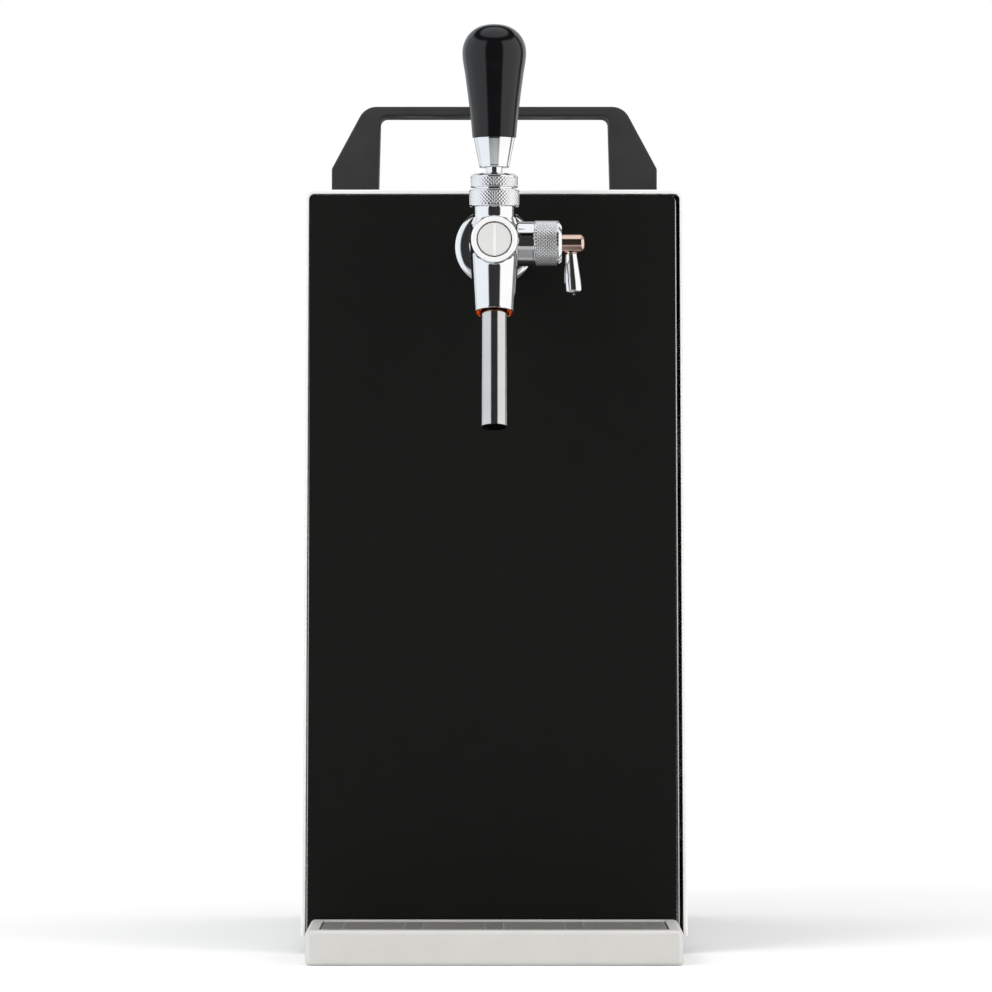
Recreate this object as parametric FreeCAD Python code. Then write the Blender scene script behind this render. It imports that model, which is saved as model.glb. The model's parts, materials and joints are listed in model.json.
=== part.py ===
import FreeCAD, Part
import math
import os

# Counter-top dry-contact beer cooler with one compensator tap. Millimetres.
# Z is up and X is to the right. While the parts are drawn, y = 0 is the plane of the case's front hem,
# the case runs back along +Y and the drip tray stands in front at -Y. Each part is moved along Y on
# writing, so that the origin is the middle of the footprint on the table.

V = FreeCAD.Vector
X_AXIS = V(1, 0, 0)
Y_AXIS = V(0, 1, 0)
Z_AXIS = V(0, 0, 1)

# General fits and stock
sheet = 1.0
fit_gap = 0.1
seat_gap = 0.3
over = 1.0
near = 0.01
least_run = 0.001

# Case
case_width = 196.0
case_splay = 2.0
case_height = 378.0
case_depth = 350.0
case_corner = 5.0
hem_gap = 0.2
hem_depth = 9.0
hem_round = 0.9
foot_height = 9.0
foot_radius = 11.0
foot_top_radius = 12.5
foot_inset = 24.0
foot_hole_radius = 2.2
bottom_flange = 10.0

# Front and rear panels, each a folded pan of sheet
panel_side_gap = 0.9
panel_shift = -0.7
panel_recess = 1.0
panel_fold = 14.0
panel_bend = 0.9
panel_corner = 4.3
panel_clear = 0.2
film_thickness = 0.3
film_margin_left = 1.1
film_margin_right = 2.0
film_margin_top = 0.3
film_margin_foot = 1.1
film_top_margin_left = 0.2
film_top_margin_right = 0.6
film_corner = 3.4
film_lower_corner = 1.6

# Carry handle
grip_width = 170.0
grip_height = 49.7
grip_depth = 30.0
grip_bar = 4.9
grip_leg_vertical = 17.2
grip_slope_run = 17.5
grip_inner_half = 59.6
grip_draft = 1.2
grip_corner = 10.0
grip_shoulder = 3.0
grip_inner_corner = 3.5
grip_edge = 1.2
grip_from_front = 100.0
grip_screw_inset = 13.0
grip_screw_spacing = 14.0

# Tap, on a level axis through the front panel
tap_drop = 29.0
tap_reach = 55.0
running = 0.05
shank_radius = 7.9
shank_bore = 4.0
shank_tail = 46.0
shank_flange_radius = 9.9
shank_flange_length = 2.5
shank_nut_radius = 13.5
shank_nut_length = 8.0
shank_washer_radius = 15.0
shank_washer_thickness = 2.0
rosette_radius = 20.2
rosette_thickness = 4.0
rosette_chamfer = 1.2
rosette_boss_radius = 12.0
rosette_boss_length = 4.0
barrel_radius = 11.0
barrel_rear = 38.5
barrel_front = 17.0
plug_ring_radius = 11.6
plug_ring_length = 6.0
plug_ring_chamfer = 0.6
plug_well_radius = 8.9
plug_well_depth = 3.4
plug_thread_radius = 7.6
plug_floor = -11.0
plug_radius = 8.2
plug_edge = 0.4
plug_step = 0.3
plug_slot = 1.3
plug_slot_depth = 1.2
plug_washer_thickness = 0.8
valve_bore_radius = 4.9
valve_bore_end = 15.5
chamber_radius = 6.0
union_thread_radius = 10.0
union_thread = 2.5
union_radius = 12.6
union_end_wall = 3.0

# Tap handle, upright over the barrel; heights are above the tap's level axis
neck_radius = 10.7
neck_foot = 12.1
neck_foot_top = 8.0
neck_shoulder = 11.5
neck_top = 17.0
thread_radius = 9.3
seat_split = 22.0
seat_mouth = 6.0
seat_floor = 16.0
lever_bore_radius = 9.4
lever_bore_top = 13.5
ball_height = 24.0
ball_radius = 7.5
ball_seal_radius = 8.2
ball_seal_section = 0.8
lower_collar_radius = 12.5
lower_collar_length = 8.5
groove_radius = 10.5
groove_length = 1.0
upper_collar_radius = 11.8
upper_collar_length = 6.9
collar_mouth = 8.4
collar_chamfer_run = 2.0
collar_chamfer_rise = 1.2
collar_edge = 0.5
mouth_start = 3.5
mouth_neck = 6.0
lever_stem_radius = 4.2
lever_finger_radius = 2.2
lever_tip_radius = 2.8
lever_arm = 18.8
lever_stud_radius = 3.0
lever_stud_length = 38.0
ferrule_lift = 12.4
ferrule_length = 15.0
ferrule_lower_radius = 7.4
ferrule_upper_radius = 10.2
ferrule_edge = 0.4
handle_length = 56.4
handle_waist_height = 20.0
handle_waist_radius = 12.3
handle_foot_slope = 0.08
handle_waist_slope = 0.16
handle_max_radius = 15.9
crown_share = 0.7
crown_drop = 0.22
crown_slope_out = 0.88
crown_slope_up = 0.48
handle_max_below_top = 14.2

# Valve spool in the level bore; places are distances behind the barrel's axis
spool_radius = 4.8
spool_front = -6.5
spool_gap_half = 3.1
spool_neck_radius = 2.0
spool_rear_guide = 5.0
spool_flat = 3.2
spool_head_start = 11.0
spool_head_end = 15.0
spool_seal_at = 13.0
spool_seal_section = 0.9

# Spout and its cone
spout_lean = 14.9
cone_start = 8.0
cone_upper_radius = 12.0
cone_lower_radius = 10.1
cone_end = 37.5
cone_well_radius = 9.1
cone_well_depth = 3.0
outlet_radius = 4.0
spout_radius = 6.7
spout_wall = 0.8
spout_end = 96.5
spout_insert = 14.0
spout_seal_section = 0.6

# Flow compensator on the tap's right
comp_back = 27.0
stub_radius = 11.3
stub_end = 19.9
comp_thread_radius = 9.5
comp_thread_end = 29.0
comp_nut_radius = 11.7
comp_nut_length = 13.9
comp_nut_chamfer = 1.6
comp_stem_radius = 4.9
comp_stem_end = 44.2
comp_dome = 2.4
stem_dome_rise = 0.35
stem_dome_width = 0.72
comp_pivot_radius = 3.4
comp_pivot_start = 6.6
comp_step = 16.0
comp_pin_radius = 1.4
comp_pin_start = 2.0
comp_eccentric = 1.5
comp_cone_radius = 5.7
comp_cone_nose = 1.8
comp_cone_start = 23.4
comp_cone_shoulder = 25.0
comp_cone_end = 36.0
comp_slot_gap = 0.25
comp_lever_at = 38.0
comp_lever_top_radius = 3.0
comp_lever_foot_radius = 4.2
comp_lever_length = 25.7
comp_lever_foot_chamfer = 1.8
comp_lever_lean = 2.0
comp_lever_shank = 2.4
comp_lever_swell = 0.78

# Drip tray
tray_width = 186.0
tray_height = 17.5
tray_depth = 97.0
tray_gap = 1.0
tray_floor_round = 2.5
tray_corner = 3.0
tray_rim = 6.5
tray_rim_round = 2.6
grate_drop = 0.8
grate_thick = 1.0
grate_bend = 0.9
grate_border = 12.0
grate_web = 8.0
grate_gap = 0.5
grate_slot_width = 3.2
grate_slot_columns = 4
grate_slot_rows = 9
grate_slot_pitch = 8.0

# Cooling block, its coils and insulation
foam_side_gap = 26.0
foam_front = 32.0
foam_depth = 128.0
foam_bottom = 196.0
foam_height = 150.0
foam_wall = 22.0
foam_edge = 6.0
block_columns = 4
beer_tube_radius = 4.0
cold_tube_radius = 3.2
tube_pitch = 22.0
bend_clear = 4.0
port_rise = 14.0

# Condenser and fan
fin_count = 18
fin_thickness = 0.6
condenser_side_gap = 32.0
condenser_depth = 26.0
condenser_bottom = 214.0
condenser_height = 132.0
condenser_from_rear = 16.0
condenser_tube_radius = 3.5
condenser_passes = 6
condenser_tube_margin = 14.0
fan_ring_gap = 6.0
fan_plate_inset = 2.0
fan_plate_thickness = 1.5
fan_plate_gap = 4.0
fan_ring_length = 14.0
fan_ring_wall = 2.0
fan_blade_count = 5
fan_blade_tip_gap = 2.5
fan_blade_twist = 32.0
fan_blade_thickness = 1.6
fan_blade_width = 26.0
fan_hub_radius = 17.0
fan_hub_length = 14.0
fan_shaft_radius = 2.5
fan_motor_radius = 24.0
fan_motor_length = 30.0
fan_arm_width = 8.0

# Compressor
comp_radius = 56.0
comp_shoulder_share = 0.8
comp_shoulder_drop = 0.3
comp_crown_share = 0.42
comp_height = 116.0
shell_dome = 24.0
comp_seam_height = 58.0
comp_seam_lip = 3.0
comp_foot_thickness = 3.0
comp_foot_gap = 4.0
comp_foot_width = 18.0
mount_radius = 8.0
mount_waist = 0.8
mount_height = 12.0
mount_bolt_radius = 3.0
comp_from_rear = 76.0
service_tube_radius = 3.2

# Filter drier and air pump
drier_radius = 9.5
drier_length = 84.0
pump_front = 40.0
pump_half_width = 34.0
pump_depth = 78.0
pump_height = 52.0
pump_edge = 5.0
pump_foot = 6.0
pump_port_radius = 3.0
pump_port_length = 10.0

# Pipes and hoses
shelf_drop = 12.0
hole_clear = 0.6
hose_radius = 4.8
hose_wall_gap = 14.0
hose_bend = 12.0
hose_drop = 22.0
air_hose_radius = 3.0
air_hose_turn = 32.0
bracket_sheet = 1.5
bracket_leg = 16.0
bracket_foot = 8.0
pipe_side_gap = 7.0
pipe_pitch = 7.0
near_bend = 5.0
discharge_rise = 80.0
capillary_radius = 1.5
capillary_bend = 8.0
capillary_drop = 14.0
suction_drop = 30.0
suction_gap = 16.0
suction_rise = 84.0

# Rear panel fittings
vent_slot_height = 4.0
vent_slot_width = 46.0
vent_pitch = 9.0
vent_count = 13
vent_columns = 2
vent_bottom = 222.0
side_vent_count = 10
side_vent_bottom = 60.0
side_vent_length = 60.0
side_vent_from_rear = 110.0
fitting_inset = 22.0
fitting_bottom = 50.0
fitting_spacing = 34.0
fitting_radius = 9.0
fitting_flange = 12.0
fitting_flange_thickness = 3.0
fitting_out = 16.0
fitting_in = 20.0
fitting_wall = 3.0
beer_port_radius = 4.8
air_port_radius = 3.0
collet_wall = 1.4
collet_lip = 1.6
collet_length = 7.0
collet_flange = 1.6
collet_travel = 1.2
inlet_half_width = 13.5
inlet_half_height = 10.0
inlet_depth = 24.0
inlet_well = 16.0
inlet_wall = 1.5
inlet_inset = 40.0
inlet_z = 62.0
inlet_flange = 3.0
inlet_flange_thickness = 2.0
inlet_pin_pitch = 7.0
inlet_pin_drop = 2.0
inlet_pin_width = 2.0
inlet_pin_height = 4.0
inlet_pin_length = 12.0
rocker_half_width = 6.5
rocker_half_height = 9.5
rocker_tilt = 9.0
rocker_well = 9.0
rocker_pivot_depth = 3.0
rocker_root = 2.5
rocker_end_clear = 1.0
rocker_pin_radius = 1.2
switch_z = 104.0
switch_depth = 18.0
thermostat_x = 0.0
thermostat_z = 174.0
thermostat_half = 17.0
thermostat_depth = 26.0
knob_radius = 15.0
knob_top_share = 0.9
knob_flute_rise = 0.55
knob_length = 14.0
knob_gap = 0.6
knob_shaft_radius = 3.0
knob_shaft_in = 12.0
knob_pointer = 1.6
knob_flutes = 16
knob_flute_radius = 1.6

# Screws
screw_radius = 1.9
screw_head_radius = 3.8
screw_head_height = 2.2
screw_length = 9.0
screw_socket_radius = 1.4
screw_socket_depth = 1.2
screw_crown_share = 0.7
screw_rim_share = 0.4

# Derived places
case_half = case_width / 2
case_top_half = case_half - case_splay
foam_half_width = case_half - foam_side_gap
condenser_half_width = case_half - condenser_side_gap
comp_foot_half = condenser_half_width - comp_foot_gap
fan_plate_half = condenser_half_width - fan_plate_inset
fan_ring_radius = fan_plate_half - fan_ring_gap
hose_side = case_half - hose_wall_gap
fitting_x = case_half - fitting_inset
inlet_x = inlet_inset - case_half
case_bottom = foot_height
case_top = case_bottom + case_height
hem_thickness = 2 * sheet + hem_gap
film_face = panel_recess - film_thickness
tap_z = case_top - tap_drop
barrel_y = -tap_reach
ball_z = tap_z + ball_height
rear_plane = case_depth - panel_recess
tray_rear = -tray_gap
tray_front = tray_rear - tray_depth
collet_rear = fitting_out + collet_travel + fit_gap + collet_flange
footprint_centre = (rear_plane + collet_rear + tray_front) / 2


# Plain solids and helpers

def block(x0, x1, y0, y1, z0, z1):
    """A box between its low and high corners."""
    return Part.makeBox(x1 - x0, y1 - y0, z1 - z0, V(x0, y0, z0))


def rod(radius, length, start, direction):
    """A round bar."""
    return Part.makeCylinder(radius, length, start, direction)


def ring(outer, inner, length, start, direction):
    """A round tube or washer."""
    hole = rod(inner, length + 2 * over, start - direction * over, direction)
    return rod(outer, length, start, direction).cut(hole)


def turned(points, start, direction):
    """A turned part from (radius, distance) corners, joined by straight lines."""
    side = X_AXIS if abs(direction.x) < 0.5 else Z_AXIS
    corners = [start + side * radius + direction * along for radius, along in points]
    outline = Part.makePolygon(corners + [corners[0]])
    return Part.Face(outline).revolve(start, direction, 360)


def rounded_outline(corners, radii):
    """A face whose straight sides meet in arcs; each corner has its own radius, or stays sharp at zero."""
    ends = []
    edges = []
    for index, corner in enumerate(corners):
        back = (corners[index - 1] - corner).normalize()
        onward = (corners[(index + 1) % len(corners)] - corner).normalize()
        half = back.getAngle(onward) / 2
        reach = radii[index] / math.tan(half)
        ends.append((corner + back * reach, corner + onward * reach))
        if radii[index] > 0:
            middle = corner + (back + onward).normalize() * (radii[index] / math.sin(half) - radii[index])
            edges.append(Part.Arc(ends[index][0], middle, ends[index][1]).toShape())
    for index in range(len(corners)):
        edges.append(Part.LineSegment(ends[index - 1][1], ends[index][0]).toShape())
    return Part.Face(Part.Wire(Part.sortEdges(edges)[0]))


def arch(half_width, top_half, bottom, top, radius, y, foot_corner=0.0):
    """An upright outline that narrows towards its rounded top corners, with rounded feet where asked."""
    corners = [V(-half_width, y, bottom), V(-top_half, y, top), V(top_half, y, top),
               V(half_width, y, bottom)]
    return rounded_outline(corners, [foot_corner, radius, radius, foot_corner])


def half_at(z):
    """Half the cover's outer width at a height: its sides lean in towards the top."""
    return case_half + (case_top_half - case_half) * (z - case_bottom) / case_height


def slot_bar(length, height, depth, centre, along, through):
    """A round-ended bar that cuts a slot; it runs along one axis and cuts through another."""
    half = (length - height) / 2
    across = through.cross(along)
    a = centre - along * half - through * (depth / 2)
    bar = rod(height / 2, depth, a, through).fuse(rod(height / 2, depth, a + along * 2 * half, through))
    low = a - across * (height / 2)
    corners = [low, low + along * 2 * half, low + along * 2 * half + across * height, low + across * height]
    plate = Part.Face(Part.makePolygon(corners + [corners[0]])).extrude(through * depth)
    return bar.fuse(plate).removeSplitter()


def fillet_where(shape, radius, test):
    """Rounds the edges whose bounding box passes the test."""
    return shape.makeFillet(radius, [edge for edge in shape.Edges if test(edge.BoundBox)])


def tube_path(points, bend):
    """A wire of straight runs joined by arcs of one bend radius."""
    edges = []
    last = points[0]
    for index in range(1, len(points) - 1):
        corner = points[index]
        back = (points[index - 1] - corner).normalize()
        ahead = (points[index + 1] - corner).normalize()
        half_turn = back.getAngle(ahead) / 2
        reach = bend / math.tan(half_turn)
        middle = (back + ahead).normalize() * (bend / math.sin(half_turn) - bend)
        enter = corner + back * reach
        leave = corner + ahead * reach
        if (enter - last).Length > least_run:
            edges.append(Part.LineSegment(last, enter).toShape())
        edges.append(Part.Arc(enter, corner + middle, leave).toShape())
        last = leave
    edges.append(Part.LineSegment(last, points[-1]).toShape())
    return Part.Wire(edges)


def pipe(points, bend, outer, inner=0.0):
    """A bent round tube, or a solid bar where no bore is given."""
    path = tube_path(points, bend)
    heading = (points[1] - points[0]).normalize()
    skin = Part.Wire(Part.makeCircle(outer, points[0], heading))
    solid = path.makePipeShell([skin], True, False)
    if inner > 0:
        core = Part.Wire(Part.makeCircle(inner, points[0], heading))
        solid = solid.cut(path.makePipeShell([core], True, False))
    return solid


def write(name, shape):
    """Puts a part on the footprint's middle and writes it."""
    moved = shape.copy()
    moved.translate(V(0, -footprint_centre, 0))
    moved.exportStep("parts/" + name + ".step")


# Case

def cover_outline(inset, overrun):
    """The cover's outline set in from its outside, run past its foot and front by the overrun."""
    return arch(case_half - inset, case_top_half - inset, case_bottom - overrun, case_top - inset,
                case_corner - inset, -overrun)


def hemmed_shell():
    """The inverted-U cover with a folded hem at its front edge."""
    outside = arch(case_half, case_top_half, case_bottom, case_top, case_corner,
                   0).extrude(Y_AXIS * case_depth)
    inside = cover_outline(sheet, over)
    shell = outside.cut(inside.extrude(Y_AXIS * (case_depth + 2 * over)))
    hem_out = cover_outline(sheet, 0)
    hem_in = cover_outline(hem_thickness, over)
    hem = hem_out.extrude(Y_AXIS * hem_depth).cut(hem_in.extrude(Y_AXIS * (hem_depth + 2 * over)))
    shell = shell.fuse(hem).removeSplitter()
    return fillet_where(shell, hem_round, lambda b: b.YMax < near and b.ZMax > case_bottom + over)


def side_vents(shell):
    """Rows of round-ended slots low on both sides, beside the compressor."""
    for row in range(side_vent_count):
        centre = V(0, case_depth - side_vent_from_rear, side_vent_bottom + row * vent_pitch)
        shell = shell.cut(slot_bar(side_vent_length, vent_slot_height, case_width + 2 * over,
                                   centre, Y_AXIS, X_AXIS))
    return shell


def case_shell():
    shell = side_vents(hemmed_shell())
    for x, y in handle_screw_places():
        shell = shell.cut(rod(screw_radius + fit_gap, 3 * sheet, V(x, y, case_top - 2 * sheet), Z_AXIS))
    return shell


def pan(half_width, top_half, bottom, top, corner, lower_corner, face, inward, depth):
    """A folded sheet pan: a flat face with four flanges turned towards the inside."""
    skin = arch(half_width, top_half, bottom, top, corner, face, lower_corner).extrude(inward * depth)
    skin = fillet_where(skin, panel_bend, lambda b: abs(b.YMin - face) < near and abs(b.YMax - face) < near)
    core = arch(half_width - sheet, top_half - sheet, bottom + sheet, top - sheet, corner - sheet, 0,
                lower_corner - sheet)
    hollow = core.extrude(inward * depth)
    hollow.translate(V(0, face, 0) + inward * sheet)
    return skin.cut(hollow)


def panel_half():
    return case_half - hem_thickness - panel_side_gap


def panel_top_half():
    return case_top_half - hem_thickness - panel_side_gap


def panel_top():
    return case_top - hem_thickness - panel_clear


def panel_bottom():
    return case_bottom + sheet


def front_panel():
    """The folded steel front, with the hole that the tap's shank passes through."""
    panel = pan(panel_half(), panel_top_half(), panel_bottom(), panel_top(), panel_corner,
                film_lower_corner,
                panel_recess, Y_AXIS, panel_fold)
    panel.translate(V(panel_shift, 0, 0))
    return panel.cut(rod(shank_radius + fit_gap, 3 * sheet, V(0, 0, tap_z), Y_AXIS))


def front_film():
    """The thin black face on the front panel, set in from the panel's bent edges."""
    foot = panel_bottom() + film_margin_foot
    top = panel_top() - film_margin_top
    half = panel_half()
    top_half = panel_top_half()
    corners = [V(film_margin_left - half, film_face, foot), V(film_top_margin_left - top_half, film_face,
                                                              top),
               V(top_half - film_top_margin_right, film_face, top), V(half - film_margin_right, film_face,
                                                                      foot)]
    face = rounded_outline(corners, [film_lower_corner, film_corner, film_corner, film_lower_corner])
    film = face.extrude(Y_AXIS * film_thickness)
    film.translate(V(panel_shift, 0, 0))
    return film.cut(rod(shank_radius + fit_gap, 3 * sheet, V(0, -over, tap_z), Y_AXIS))


def rear_half():
    return case_half - sheet - panel_side_gap


def rear_panel():
    """The folded rear cover with its grille and the openings for the fittings."""
    top = case_top - sheet - panel_clear
    top_half = case_top_half - sheet - panel_side_gap
    panel = pan(rear_half(), top_half, panel_bottom(), top, panel_corner, film_lower_corner, rear_plane,
                -Y_AXIS,
                panel_fold)
    for row in range(vent_count):
        for column in range(vent_columns):
            x = (column - (vent_columns - 1) / 2) * (vent_slot_width + vent_pitch)
            centre = V(x, rear_plane, vent_bottom + row * vent_pitch)
            panel = panel.cut(slot_bar(vent_slot_width, vent_slot_height, 4 * sheet, centre, X_AXIS,
                                       Y_AXIS))
    for z in (fitting_bottom, fitting_bottom + fitting_spacing):
        panel = panel.cut(rod(fitting_radius, 4 * sheet, V(fitting_x, rear_plane - 2 * sheet, z), Y_AXIS))
    panel = panel.cut(rear_window(inlet_x, inlet_z, inlet_half_width, inlet_half_height))
    panel = panel.cut(rear_window(inlet_x, switch_z, rocker_half_width + sheet, rocker_half_height + sheet))
    return panel.cut(rod(knob_shaft_radius + sheet, 4 * sheet, V(thermostat_x, rear_plane - 2 * sheet,
                                                                 thermostat_z),
                         Y_AXIS))


def rear_window(x, z, half_width, half_height):
    """The cutter for a square opening in the rear panel, with the fitting's clearance."""
    return block(x - half_width - fit_gap, x + half_width + fit_gap, rear_plane - 2 * sheet,
                 rear_plane + 2 * sheet,
                 z - half_height - fit_gap, z + half_height + fit_gap)


def base_plate():
    """The floor of the case: flat under both panels, folded up against the cover at its sides."""
    half = half_at(case_bottom + bottom_flange) - sheet - running
    front = panel_back() + panel_clear
    rear = rear_plane - sheet - panel_clear
    plate = block(-half, half, front, rear, case_bottom, case_bottom + sheet)
    for side in (-1, 1):
        outer = side * half
        inner = side * (half - sheet)
        plate = plate.fuse(block(min(outer, inner), max(outer, inner), hem_depth + panel_fold,
                                 rear_plane - panel_fold - over,
                                 case_bottom, case_bottom + bottom_flange))
        notch = side * (half + sheet - hem_thickness)
        plate = plate.cut(block(min(outer, notch), max(outer, notch), front - over, hem_depth,
                                case_bottom - over, case_bottom + 2 * sheet))
    for x, y in foot_places():
        plate = plate.cut(rod(foot_hole_radius, 3 * sheet, V(x, y, case_bottom - over), Z_AXIS))
    return plate.removeSplitter()


def foot_places():
    x = case_half - foot_inset
    front = hem_depth + panel_fold + foot_inset
    rear = case_depth - panel_fold - foot_inset
    return [(-x, front), (x, front), (-x, rear), (x, rear)]


def feet():
    """Four tapered rubber feet, each with a stem pushed through the floor."""
    solids = []
    for x, y in foot_places():
        outline = [(0, 0), (foot_radius, 0), (foot_top_radius, foot_height), (foot_hole_radius,
                                                                              foot_height),
                   (foot_hole_radius, foot_height + sheet), (0, foot_height + sheet)]
        solids.append(turned(outline, V(x, y, 0), Z_AXIS))
    return Part.makeCompound(solids)


# Carry handle and screws

def handle_screw_places():
    x = grip_width / 2 - grip_screw_inset
    middle = grip_from_front + grip_depth / 2
    return [(side * x, middle + along * grip_screw_spacing / 2) for side in (-1, 1) for along in (-1, 1)]


def carry_handle():
    """The moulded bail: two broad sloped legs and a thin flat bar, with soft edges."""
    half = grip_width / 2
    shoulder = case_top + grip_leg_vertical
    top = case_top + grip_height
    crown = half - grip_slope_run
    mouth = grip_inner_half
    under = top - grip_bar
    corners = [V(-half, grip_from_front, case_top), V(-half, grip_from_front, shoulder),
               V(-crown, grip_from_front, top), V(crown, grip_from_front, top),
               V(half, grip_from_front, shoulder), V(half, grip_from_front, case_top),
               V(mouth + grip_draft, grip_from_front, case_top), V(mouth, grip_from_front, under),
               V(-mouth, grip_from_front, under), V(-mouth - grip_draft, grip_from_front, case_top)]
    body = Part.Face(Part.makePolygon(corners + [corners[0]])).extrude(Y_AXIS * grip_depth)

    def runs_back(b, x, z):
        return b.YLength > grip_depth - over and abs(abs(b.XMin) - x) < near and abs(b.ZMin - z) < near

    body = fillet_where(body, grip_corner, lambda b: runs_back(b, crown, top))
    body = fillet_where(body, grip_shoulder, lambda b: runs_back(b, half, shoulder))
    body = fillet_where(body, grip_inner_corner, lambda b: runs_back(b, mouth, under))
    body = fillet_where(body, grip_edge, lambda b: b.YLength < near and b.ZMax > case_top + over)
    for x, y in handle_screw_places():
        body = body.cut(rod(screw_radius, screw_length, V(x, y, case_top - over), Z_AXIS))
    return body


def screw(head, direction):
    """A pan-head screw with a socket; the head's underside is at the given place."""
    outline = [(0, -screw_head_height), (screw_head_radius * screw_crown_share, -screw_head_height),
               (screw_head_radius, -screw_head_height * screw_rim_share), (screw_head_radius,
                                                                           0), (screw_radius, 0),
               (screw_radius, screw_length), (0, screw_length)]
    socket = rod(screw_socket_radius, screw_socket_depth, head - direction * screw_head_height, direction)
    return turned(outline, head, direction).cut(socket)


def handle_screws():
    heads = [V(x, y, case_top - sheet) for x, y in handle_screw_places()]
    return Part.makeCompound([screw(head, Z_AXIS) for head in heads])


# Drip tray

def drip_tray():
    """The folded tray: rounded rolled rim, rounded floor edges and an open middle."""
    half = tray_width / 2
    outside = block(-half, half, tray_front, tray_rear, 0, tray_height)
    outside = fillet_where(outside, tray_corner, lambda b: b.ZLength > tray_height - over)
    outside = fillet_where(outside, tray_rim_round, lambda b: b.ZMin > tray_height - near)
    outside = fillet_where(outside, tray_floor_round, lambda b: b.ZMax < near)
    core = block(-half + sheet, half - sheet, tray_front + sheet, tray_rear - sheet, sheet,
                 tray_height - sheet)
    core = fillet_where(core, tray_corner - sheet, lambda b: b.ZLength > tray_height - 3 * sheet)
    core = fillet_where(core, tray_rim_round - sheet, lambda b: b.ZMin > tray_height - sheet - near)
    core = fillet_where(core, tray_floor_round - sheet, lambda b: b.ZMax < sheet + near)
    mouth = block(-half + tray_rim, half - tray_rim, tray_front + tray_rim, tray_rear - tray_rim,
                  sheet + tray_floor_round, tray_height + over)
    mouth = fillet_where(mouth, tray_corner, lambda b: b.ZLength > tray_height / 2)
    return outside.cut(core).cut(mouth)


def drip_grate():
    """The slotted plate whose folded edges stand on the tray's floor."""
    half = tray_width / 2 - tray_rim - grate_gap
    front = tray_front + tray_rim + grate_gap
    rear = tray_rear - tray_rim - grate_gap
    top = tray_height - grate_drop
    foot = sheet
    plate = block(-half, half, front, rear, foot, top)
    plate = fillet_where(plate, tray_corner - grate_gap, lambda b: b.ZLength > top - foot - near)
    plate = fillet_where(plate, grate_bend, lambda b: b.ZMin > top - near)
    hollow = block(-half + grate_thick, half - grate_thick, front + grate_thick, rear - grate_thick,
                   foot - over, top - grate_thick)
    plate = plate.cut(hollow)
    column_pitch = (2 * half - grate_border) / grate_slot_columns
    middle = (front + rear) / 2
    cutters = []
    for column in range(grate_slot_columns):
        for row in range(grate_slot_rows):
            x = (column - (grate_slot_columns - 1) / 2) * column_pitch
            y = middle + (row - (grate_slot_rows - 1) / 2) * grate_slot_pitch
            cutters.append(slot_bar(column_pitch - grate_web, grate_slot_width, 4 * grate_thick,
                                    V(x, y, top - grate_thick / 2), X_AXIS, Z_AXIS))
    return plate.cut(Part.makeCompound(cutters))


# Tap. Places along the tap's level axis are distances behind the upright barrel's axis.

def along_tap(distance):
    return V(0, barrel_y + distance, tap_z)


def lean():
    """The way that the cone and spout point: down, and forward by the lean."""
    angle = math.radians(spout_lean)
    return V(0, -math.sin(angle), -math.cos(angle))


def ball_centre():
    return V(0, barrel_y, ball_z)


def body_outside():
    """Barrel, plug ring, neck, leaning cone and compensator stub as one casting."""
    barrel = turned([(0, -barrel_front), (plug_ring_radius - plug_ring_chamfer, -barrel_front),
                     (plug_ring_radius, -barrel_front + plug_ring_chamfer),
                     (plug_ring_radius, -barrel_front + plug_ring_length),
                     (barrel_radius, -barrel_front + plug_ring_length + plug_ring_chamfer),
                     (barrel_radius, barrel_rear), (union_thread_radius, barrel_rear),
                     (union_thread_radius, barrel_rear + union_thread), (0, barrel_rear + union_thread)],
                    along_tap(0), Y_AXIS)
    neck = turned([(0, 0), (neck_foot, 0), (neck_foot, neck_foot_top), (neck_radius, neck_shoulder),
                   (neck_radius, neck_top), (thread_radius, neck_top), (thread_radius, seat_split),
                   (0, seat_split)], along_tap(0), Z_AXIS)
    cone = turned([(0, 0), (cone_upper_radius, 0), (cone_upper_radius, cone_start), (cone_lower_radius,
                                                                                     cone_end),
                   (0, cone_end)], along_tap(0), lean())
    stub = turned([(0, 0), (stub_radius, 0), (stub_radius, stub_end), (comp_thread_radius, stub_end),
                   (comp_thread_radius, comp_thread_end), (0,
                                                           comp_thread_end)], along_tap(comp_back), X_AXIS)
    return barrel.fuse([neck, cone, stub]).removeSplitter()


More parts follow.
